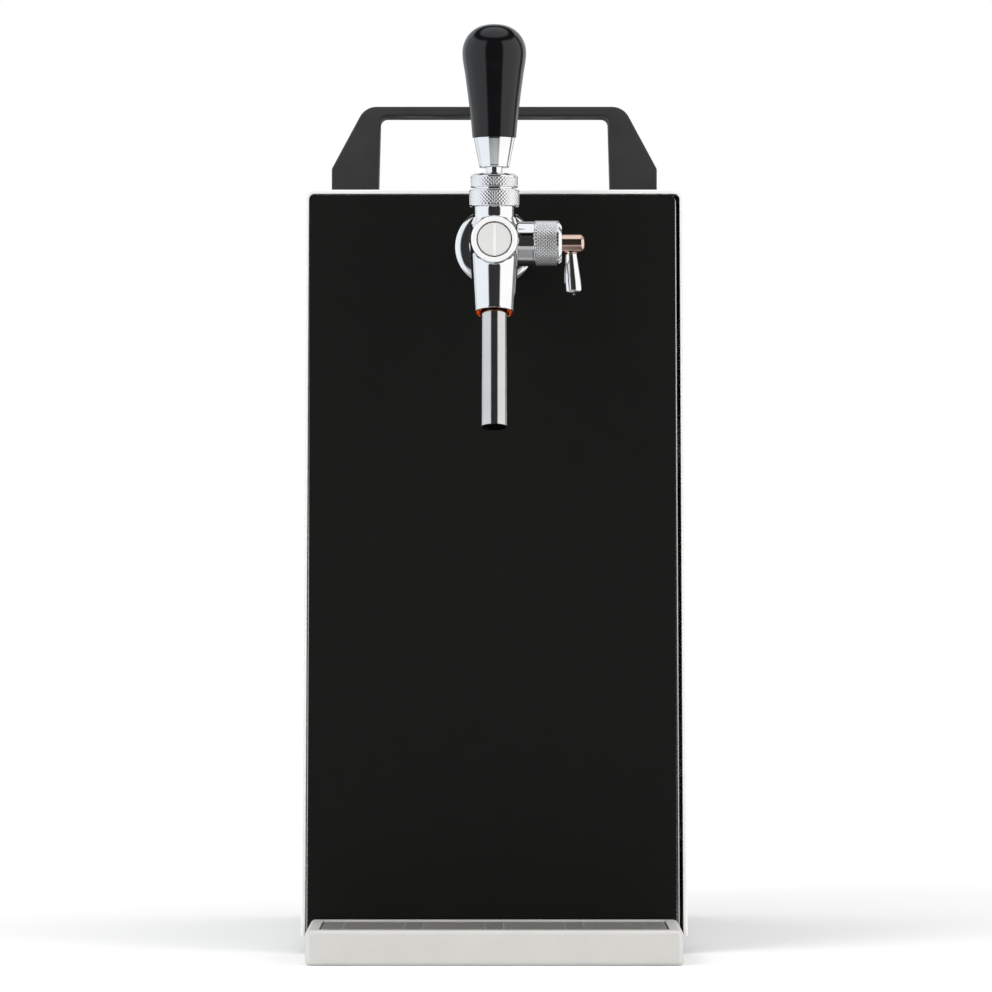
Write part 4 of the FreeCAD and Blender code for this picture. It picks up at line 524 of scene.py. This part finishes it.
def studio_floor():
    """A pale round floor under the object."""
    floor_radius, corners = 6.0, 96
    turn = np.linspace(0, 2 * math.pi, corners, endpoint=False)
    rim = [(math.cos(a) * floor_radius, math.sin(a) * floor_radius, 0.0) for a in turn]
    mesh = bpy.data.meshes.new("floor")
    mesh.from_pydata(rim, [], [list(range(corners))])
    floor = bpy.data.objects.new("floor", mesh)
    bpy.context.scene.collection.objects.link(floor)
    mesh.materials.append(floor_material())
    return floor


def photo_camera():
    """The photograph's view: level, a long way off, shifted so that its horizon falls at the photograph's."""
    lens = bpy.data.cameras.new("photo")
    lens.sensor_width = sensor_width
    lens.lens = sensor_width * camera_distance / (photo_width * front_scale)
    lens.shift_y = (photo_horizon - photo_width / 2) / photo_width
    lens.shift_x = (photo_width / 2 - photo_centre) / photo_width
    lens.clip_start = 0.1
    lens.clip_end = 50
    holder = bpy.data.objects.new("photo", lens)
    holder.location = (0, case_front - camera_distance, camera_height)
    holder.rotation_euler = (math.pi / 2, 0, 0)
    bpy.context.scene.collection.objects.link(holder)
    bpy.context.scene.camera = holder


light_aim = (0, 0, 0.2)
studio_world()
photo_camera()
floor = studio_floor()
area_light("key", (-1.3, -1.6, 1.9), light_aim, 1.2, 18)
area_light("fill", (1.6, -1.4, 1.2), light_aim, 1.2, 8)
bpy.context.scene.view_settings.view_transform = "Standard"


# Knurled collars

knurl_pitch = 1.3
knurl_depth = 0.28
knurl_sharpness = 3
knurl_fade = 0.3
knurl_step = 0.14


def diamonds(mean_radius, low, high):
    """Relief of two crossing sets of grooves at 45 degrees, which fades out at both ends of the band."""
    count = round(2 * math.pi * mean_radius / knurl_pitch / math.sqrt(2))
    per_height = count / mean_radius

    def value(angle, height, radius):
        on = np.clip(np.minimum(height - low, high - height) / knurl_fade, 0, 1)
        on = on * (radius > mean_radius - 0.05)
        turns = [(count * angle + sign * per_height * height) / (2 * np.pi) for sign in (-1, 1)]
        waves = [np.abs(turn % 1 - 0.5) * 2 for turn in turns]
        return -knurl_depth * on * np.maximum(*waves) ** knurl_sharpness

    return value


def subdivided(profile, low, high, step):
    """The profile with extra rows between two heights on its long straight stretches."""
    out = [profile[0]]
    for start, end in zip(profile[:-1], profile[1:]):
        inside = min(start[1], end[1]) > low - 1e-6 and max(start[1], end[1]) < high + 1e-6
        count = max(1, int(abs(end[1] - start[1]) / step)) if inside else 1
        out += [start + (end - start) * k / count for k in range(1, count + 1)]
    return np.array(out)


def closed_ring(corners, edge):
    """Rounded profile of a ring that starts and ends at the same point."""
    return rounded(list(corners) + [corners[0]], edge, 3)


def knurled_ring(name, corners, edge, low, high, centre, axis, material, node):
    """A collar turned from its corners, knurled between two heights on its widest radius."""
    widest = max(corner[0] for corner in corners)
    profile = subdivided(closed_ring(corners, edge), low - 0.6, high + 0.6, knurl_step)
    piece = turned(name, profile, centre, axis, 448, diamonds(widest, low, high), 60.0)
    return stands_for(piece, material, node)


# Tap's places, all in millimetres from the crossing of its barrel and neck

tap_centre = np.array([0.0, barrel_y, tap_z])
ball_up = 24.0
up = (0, 0, 1)
forward = (0, -1, 0)
right = (1, 0, 0)
lean_angle = math.radians(14.9)
lean = (0, -math.sin(lean_angle), -math.cos(lean_angle))


def above_tap(box_z):
    """Height of a frame's box end above the tap's centre, in millimetres."""
    return (box_z - tap_z) / mm


# Collars on the neck
nut_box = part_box("neck_nut")
nut_low, nut_high = above_tap(nut_box[0].z), above_tap(nut_box[1].z)
nut_radius = (nut_box[1].x - nut_box[0].x) / 2 / mm
thread_radius = 9.9
knurled_ring("neck_nut_knurled",
             [(thread_radius, nut_low), (nut_radius, nut_low, 0.5), (nut_radius, nut_high, 0.5),
              (thread_radius, nut_high)],
             0.0, nut_low + 0.7, nut_high - 0.7, tap_centre, up, materials["chrome"], "neck_nut")

cap_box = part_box("ball_cap")
cap_high = above_tap(cap_box[1].z)
cap_foot = above_tap(cap_box[0].z)
cap_radius = (cap_box[1].x - cap_box[0].x) / 2 / mm
groove = 1.0
groove_radius = 10.5
cap_low = nut_high + groove
cap_thread_radius = thread_radius - 0.1
cap_mouth_radius = 8.4
ball_reach = 7.6
seat_mouth_radius = 4.4


def cap_inside():
    """Inside of the cap from its mouth down: a cone, then the ball's seat as an arc to the thread's end."""
    start, end = math.asin(seat_mouth_radius / ball_reach), math.asin((cap_foot - ball_up) / ball_reach)
    turns = np.linspace(start, end, 9)
    arc = [(ball_reach * math.cos(t), ball_up + ball_reach * math.sin(t), 0) for t in turns]
    return [(cap_mouth_radius, cap_high, 0.3)] + arc


knurled_ring("ball_cap_knurled",
             [(cap_thread_radius, cap_foot, 0), (cap_thread_radius, nut_high + 0.1, 0),
              (groove_radius, nut_high + 0.1, 0), (groove_radius, cap_low, 0.2), (cap_radius, cap_low, 0.4),
              (cap_radius, cap_high - 1.2, 0.6), (cap_radius - 2.0, cap_high, 0.6)] + cap_inside(),
             0.0, cap_low + 0.6, cap_high - 1.9, tap_centre, up, materials["chrome"], "ball_cap")

# Cap nut of the compensator
side_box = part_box("compensator_nut")
side_low, side_high = side_box[0].x / mm, side_box[1].x / mm
side_radius = (side_box[1].z - side_box[0].z) / 2 / mm
side_centre = np.array([0.0, (side_box[0].y + side_box[1].y) / 2, (side_box[0].z + side_box[1].z) / 2])
side_thread_radius = 9.5
side_thread_end = 29.0
stem_radius = 4.9
nut_bore = stem_radius + 0.05
knurled_ring("compensator_nut_knurled",
             [(side_thread_radius, side_low, 0), (side_radius, side_low, 0.5),
              (side_radius, side_high - 1.6, 0.25), (side_radius - 1.6, side_high, 0.25),
              (nut_bore, side_high, 0.3), (nut_bore, side_thread_end, 0),
              (side_thread_radius, side_thread_end, 0)],
             0.0, side_low + 0.7, side_high - 2.3, side_centre, right, materials["chrome"], "compensator_nut")


# Handle of the tap

def smooth_profile(heights, radii, slopes, steps):
    """Points of a curve through the given radii with the given slopes, by cubic pieces between neighbours."""
    rows = []
    for i in range(len(heights) - 1):
        t = np.linspace(0, 1, steps, endpoint=i == len(heights) - 2)
        span = heights[i + 1] - heights[i]
        r = ((2 * t**3 - 3 * t**2 + 1) * radii[i] + (t**3 - 2 * t**2 + t) * span * slopes[i]
             + (3 * t**2 - 2 * t**3) * radii[i + 1] + (t**3 - t**2) * span * slopes[i + 1])
        rows.append(np.stack([r, heights[i] + t * span], axis=1))
    return np.concatenate(rows)


grip_low, grip_high = above_tap(grip_box[0].z), above_tap(grip_box[1].z)
grip_radius = (grip_box[1].x - grip_box[0].x) / 2 / mm
ferrule_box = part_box("handle_ferrule")
ferrule_low, ferrule_high = above_tap(ferrule_box[0].z), above_tap(ferrule_box[1].z)
ferrule_top_radius = (ferrule_box[1].x - ferrule_box[0].x) / 2 / mm
ferrule_foot_radius = 7.4
belly = grip_high - 14.2
grip_foot_radius = 10.9
grip_bore_depth = 23.0
crown_fullness = 0.86
stud_bore = 3.0


def grip_profile():
    """Bore, flat foot, long taper, belly and a round crown."""
    side = smooth_profile([grip_low, grip_low + 20, grip_low + 30, belly],
                          [grip_foot_radius, 13.0, 14.35, grip_radius], [0.07, 0.135, 0.125, 0.0], 24)
    turn = np.linspace(0, math.pi / 2, 40)[1:]
    crown = np.stack([grip_radius * np.cos(turn) ** crown_fullness,
                      belly + (grip_high - belly) * np.sin(turn)], axis=1)
    crown[-1, 0] = 0
    bore_end = grip_low + grip_bore_depth
    inner = np.array([[0, bore_end], [stud_bore, bore_end], [stud_bore, grip_low]])
    return np.concatenate([inner, side, crown])


stands_for(turned("grip_turned", grip_profile(), tap_centre, up, 128, smooth_angle=40),
           materials["grip_plastic"], "handle_grip")
ferrule_profile = closed_ring(
    [(stud_bore, ferrule_low, 0), (ferrule_foot_radius, ferrule_low, 0.5),
     (ferrule_foot_radius + 0.15, ferrule_low + 1.2, 3.0),
     (ferrule_top_radius - 0.1, ferrule_high - 0.8, 1.5), (ferrule_top_radius - 0.1, ferrule_high, 0.25),
     (stud_bore, ferrule_high, 0)], 0.0)
stands_for(turned("ferrule_turned", ferrule_profile, tap_centre, up, 128, smooth_angle=40),
           materials["chrome"], "handle_ferrule")


# Rosette: a shallow dome against the front, with its boss towards the tap
rosette_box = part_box("rosette")
rosette_radius = (rosette_box[1].x - rosette_box[0].x) / 2 / mm
rosette_back = (rosette_box[1].y - barrel_y) / mm
rosette_front = (rosette_box[0].y - barrel_y) / mm
rosette_z = (rosette_box[0].z + rosette_box[1].z) / 2
boss_radius = 12.0
boss_end = 4.0
shank_bore = 8.0


def rosette_profile():
    """Back, rim, a dome that is an arc from the rim to the boss, and the boss.

    Rows are (r, distance towards the rear)."""
    rim = rosette_back - 1.2
    shoulder = rosette_front + boss_end
    width, height = rosette_radius - boss_radius, shoulder - rim
    turns = np.linspace(0.12, math.pi / 2, 14)
    dome = [(boss_radius + width * math.cos(t), rim + height * math.sin(t), 0) for t in turns]
    back = [(shank_bore, rosette_back, 0), (rosette_radius, rosette_back, 0.15), (rosette_radius, rim, 0)]
    return closed_ring(back + dome + [(boss_radius, rosette_front, 0.4), (shank_bore, rosette_front, 0)], 0.0)


stands_for(turned("rosette_domed", rosette_profile(), np.array([0.0, barrel_y, rosette_z]), (0, 1, 0), 128,
                  smooth_angle=40), materials["chrome"], "rosette")


# Tap's casting, as one smooth form: distances to turned bodies, joined with round fillets

def polygon_distance(r, t, corners):
    """Signed distance in the (r, t) half plane to a closed outline of corners; negative inside."""
    corners = np.asarray(corners, float)
    best = np.full(r.shape, 1e9)
    inside = np.zeros(r.shape, bool)
    for (ax, ay), (bx, by) in zip(corners, np.roll(corners, -1, axis=0)):
        ex, ey = bx - ax, by - ay
        wx, wy = r - ax, t - ay
        along = np.clip((wx * ex + wy * ey) / (ex * ex + ey * ey + 1e-12), 0, 1)
        if not (abs(ax) < 1e-9 and abs(bx) < 1e-9):
            best = np.minimum(best, (wx - ex * along) ** 2 + (wy - ey * along) ** 2)
        if ay != by:
            cross = ax + (t - ay) * ex / ey
            inside ^= ((ay > t) != (by > t)) & (r < cross)
    return np.where(inside, -1, 1) * np.sqrt(best)


def turned_distance(points, start, axis, corners):
    """Signed distance to a body turned about an axis from a start point; corners are (r, t)."""
    away = points - np.asarray(start)
    axis = np.asarray(axis) / np.linalg.norm(axis)
    t = away @ axis
    r = np.sqrt(np.maximum((away ** 2).sum(-1) - t * t, 0))
    return polygon_distance(r, t, corners)


def filleted_union(a, b, radius):
    """Union of two fields whose inner corner is an arc of the given radius."""
    corner = np.hypot(np.maximum(radius - a, 0), np.maximum(radius - b, 0))
    return np.maximum(radius, np.minimum(a, b)) - corner


def rounded_cut(a, b, radius):
    """Field a less field b, whose outer corner is an arc of the given radius."""
    b = -b
    corner = np.hypot(np.maximum(radius + a, 0), np.maximum(radius + b, 0))
    return np.minimum(-radius, np.maximum(a, b)) + corner


lean_way = np.array(lean)
back_way = np.array([0, 1.0, 0])
up_way = np.array([0, 0, 1.0])
right_way = np.array([1.0, 0, 0])
comp_place = np.array([0, 27.0, 0])
centre_place = np.zeros(3)
socket_radius = 7.62
mouth_rounding = 0.25
cone_fillet, barrel_fillet, stub_fillet, ring_fillet = 2.0, 2.2, 1.6, 1.2


def casting(points):
    """Signed distance to the casting, in millimetres from the crossing of barrel and neck."""
    ring = turned_distance(points, centre_place, back_way,
                           [(0, -17), (11.0, -17), (11.6, -16.4), (11.6, -11.6), (11.0, -11), (0, -11)])
    barrel = turned_distance(points, centre_place, back_way,
                             [(0, -12), (10.4, -12), (10.4, 0), (11.0, 6), (11.0, 38.5), (10.0, 38.5),
                              (10.0, 41.0), (0, 41.0)])
    neck = turned_distance(points, centre_place, up_way,
                           [(0, 0), (12.1, 0), (12.1, 8.0), (10.7, 11.5), (10.7, 17.0), (9.3, 17.0),
                            (9.3, 22.0), (0, 22.0)])
    cone = turned_distance(points, centre_place, lean_way,
                           [(0, 0), (12.0, 0), (12.0, 8.0), (10.1, 37.5), (0, 37.5)])
    stub = turned_distance(points, comp_place, right_way,
                           [(0, 0), (11.3, 0), (11.3, 19.9), (9.5, 19.9), (9.5, 29.0), (0, 29.0)])
    shape = filleted_union(neck, cone, cone_fillet)
    shape = filleted_union(shape, barrel, barrel_fillet)
    shape = filleted_union(shape, stub, stub_fillet)
    shape = filleted_union(shape, ring, ring_fillet)
    level = turned_distance(points, centre_place, back_way,
                            [(0, -19), (8.9, -19), (8.9, -13.6), (7.6, -13.6), (7.6, -11.0), (4.95, -11.0),
                             (4.95, 15.5), (6.0, 15.5), (6.0, 43.0), (0, 43.0)])
    swing = turned_distance(points, centre_place, up_way,
                            [(0, 0), (9.4, 0), (9.4, 13.5), (6.0, 16.0), (6.0, 24.0), (0, 24.0)])
    socket = np.linalg.norm(points - up_way * ball_up, axis=-1) - socket_radius
    outlet = turned_distance(points, centre_place, lean_way,
                             [(0, 0), (4.0, 0), (4.0, 23.5), (6.75, 23.5), (6.75, 34.5), (9.1, 34.5),
                              (9.1, 40.0), (0, 40.0)])
    stem = turned_distance(points, comp_place, right_way,
                           [(0, 0), (3.45, 0), (3.45, 16.0), (4.95, 16.0), (4.95, 31.0), (0, 31.0)])
    for hole in (level, outlet):
        shape = rounded_cut(shape, hole, mouth_rounding)
    for hole in (swing, socket, stem):
        shape = np.maximum(shape, -hole)
    return shape


def surface_net(field, low, high, cell):
    """Closed quad mesh of a field's zero surface: one point in each grid cell that it crosses, drawn onto it.

    The points start at the mean of the crossings of their cell's edges and take Newton steps along the
    gradient."""
    axes = [np.arange(low[i], high[i] + cell, cell) for i in range(3)]
    grid = np.stack(np.meshgrid(*axes, indexing="ij"), axis=-1)
    value = field(grid)
    shape = value.shape
    total = np.zeros([n - 1 for n in shape] + [3])
    crossings = np.zeros([n - 1 for n in shape])
    faces = []
    edges = []
    for axis in range(3):
        a = value[tuple(slice(0, -1) if i == axis else slice(None) for i in range(3))]
        b = value[tuple(slice(1, None) if i == axis else slice(None) for i in range(3))]
        i, j, k = np.nonzero((a < 0) != (b < 0))
        va, vb = a[i, j, k], b[i, j, k]
        where = np.stack([i, j, k], axis=1).astype(float)
        where[:, axis] += va / (va - vb)
        edges.append((axis, i, j, k, va < 0))
        others = [o for o in range(3) if o != axis]
        for da in (0, 1):
            for db in (0, 1):
                cell_index = [i.copy(), j.copy(), k.copy()]
                cell_index[others[0]] -= da
                cell_index[others[1]] -= db
                np.add.at(total, tuple(cell_index), where)
                np.add.at(crossings, tuple(cell_index), 1)
    used = crossings > 0
    number = np.full(used.shape, -1)
    number[used] = np.arange(used.sum())
    points = np.asarray(low) + total[used] / crossings[used][:, None] * cell
    for axis, i, j, k, inside in edges:
        others = [o for o in range(3) if o != axis]
        ring = []
        for da, db in ((0, 0), (1, 0), (1, 1), (0, 1)):
            cell_index = [i.copy(), j.copy(), k.copy()]
            cell_index[others[0]] -= da
            cell_index[others[1]] -= db
            ring.append(number[tuple(cell_index)])
        quads = np.stack(ring, axis=1)
        flip = inside == (axis == 1)
        quads[flip] = quads[flip][:, ::-1]
        faces.append(quads)
    nudge = 0.02
    newton_steps = 4
    for _ in range(newton_steps):
        here = field(points)
        slope = np.stack([(field(points + nudge * e) - field(points - nudge * e)) / (2 * nudge)
                          for e in np.eye(3)], axis=1)
        step = here / np.maximum((slope ** 2).sum(1), 0.25)
        points = points - np.clip(step, -cell / 2, cell / 2)[:, None] * slope
    return points, np.concatenate(faces)


casting_cell = 0.45
points, quads = surface_net(casting, (-13.5, -21.5, -40.0), (30.0, 42.5, 23.5), casting_cell)
stands_for(mesh_piece("tap_casting", tap_centre + points * mm, quads, 40.0),
           casting_chrome(tap_centre, lean), "tap_body")

# Stem of the compensator: pivot, step, barrel and a domed end, about the side axis
stem_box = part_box("compensator_stem")
stem_start, stem_step = stem_box[0].x / mm, 16.1
stem_longer = 1.6
stem_end = stem_box[1].x / mm + stem_longer
pivot_radius = 3.3
stem_profile = rounded(
    [(0, stem_start), (pivot_radius, stem_start, 0.2), (pivot_radius, stem_step, 0),
     (stem_radius, stem_step, 0.2), (stem_radius, stem_end - 2.0, 1.2),
     (stem_radius * 0.72, stem_end - 0.6, 1.5), (0, stem_end)], 0.0)
stands_for(turned("compensator_stem_turned", stem_profile, tap_centre + comp_place * mm, right_way, 96,
                  smooth_angle=30), coppery, "compensator_stem")

# Hanging lever of the compensator
lever_out = np.array([38.0, 0, 0])
lever_length = 25.7
lever_lean = (2.0, 0, -lever_length)
lever_place = tap_centre + (comp_place + lever_out) * mm
lever_profile = rounded(
    [(0, -2.4), (2.4, -2.4, 0), (2.4, 4.7, 0), (3.3, 5.2, 0.3), (4.5, 19.5, 8.0), (4.5, 24.6, 1.8),
     (1.3, 25.2, 0.3), (0.9, lever_length, 0.2), (0, lever_length)], 0.0)
stands_for(turned("compensator_lever_turned", lever_profile, lever_place, lever_lean, 64, smooth_angle=40),
           materials["chrome"], "compensator_lever")


# Remaining pieces of the model, finished and coloured

for node, thing in frame["nodes"].items():
    thing.data.materials.clear()
    thing.data.materials.append(materials[node_slot[node]])

for node in ("case_shell", "front_panel", "carry_handle", "drip_tray", "drip_grate", "front_plug", "spout",
             "ball_lever", "tap_union_nut"):
    finish = {"drip_tray": tray_steel, "front_plug": plug_painted_slot_light}.get(node, materials[node_slot[node]])
    stands_for(smooth_copy(node), finish, node)
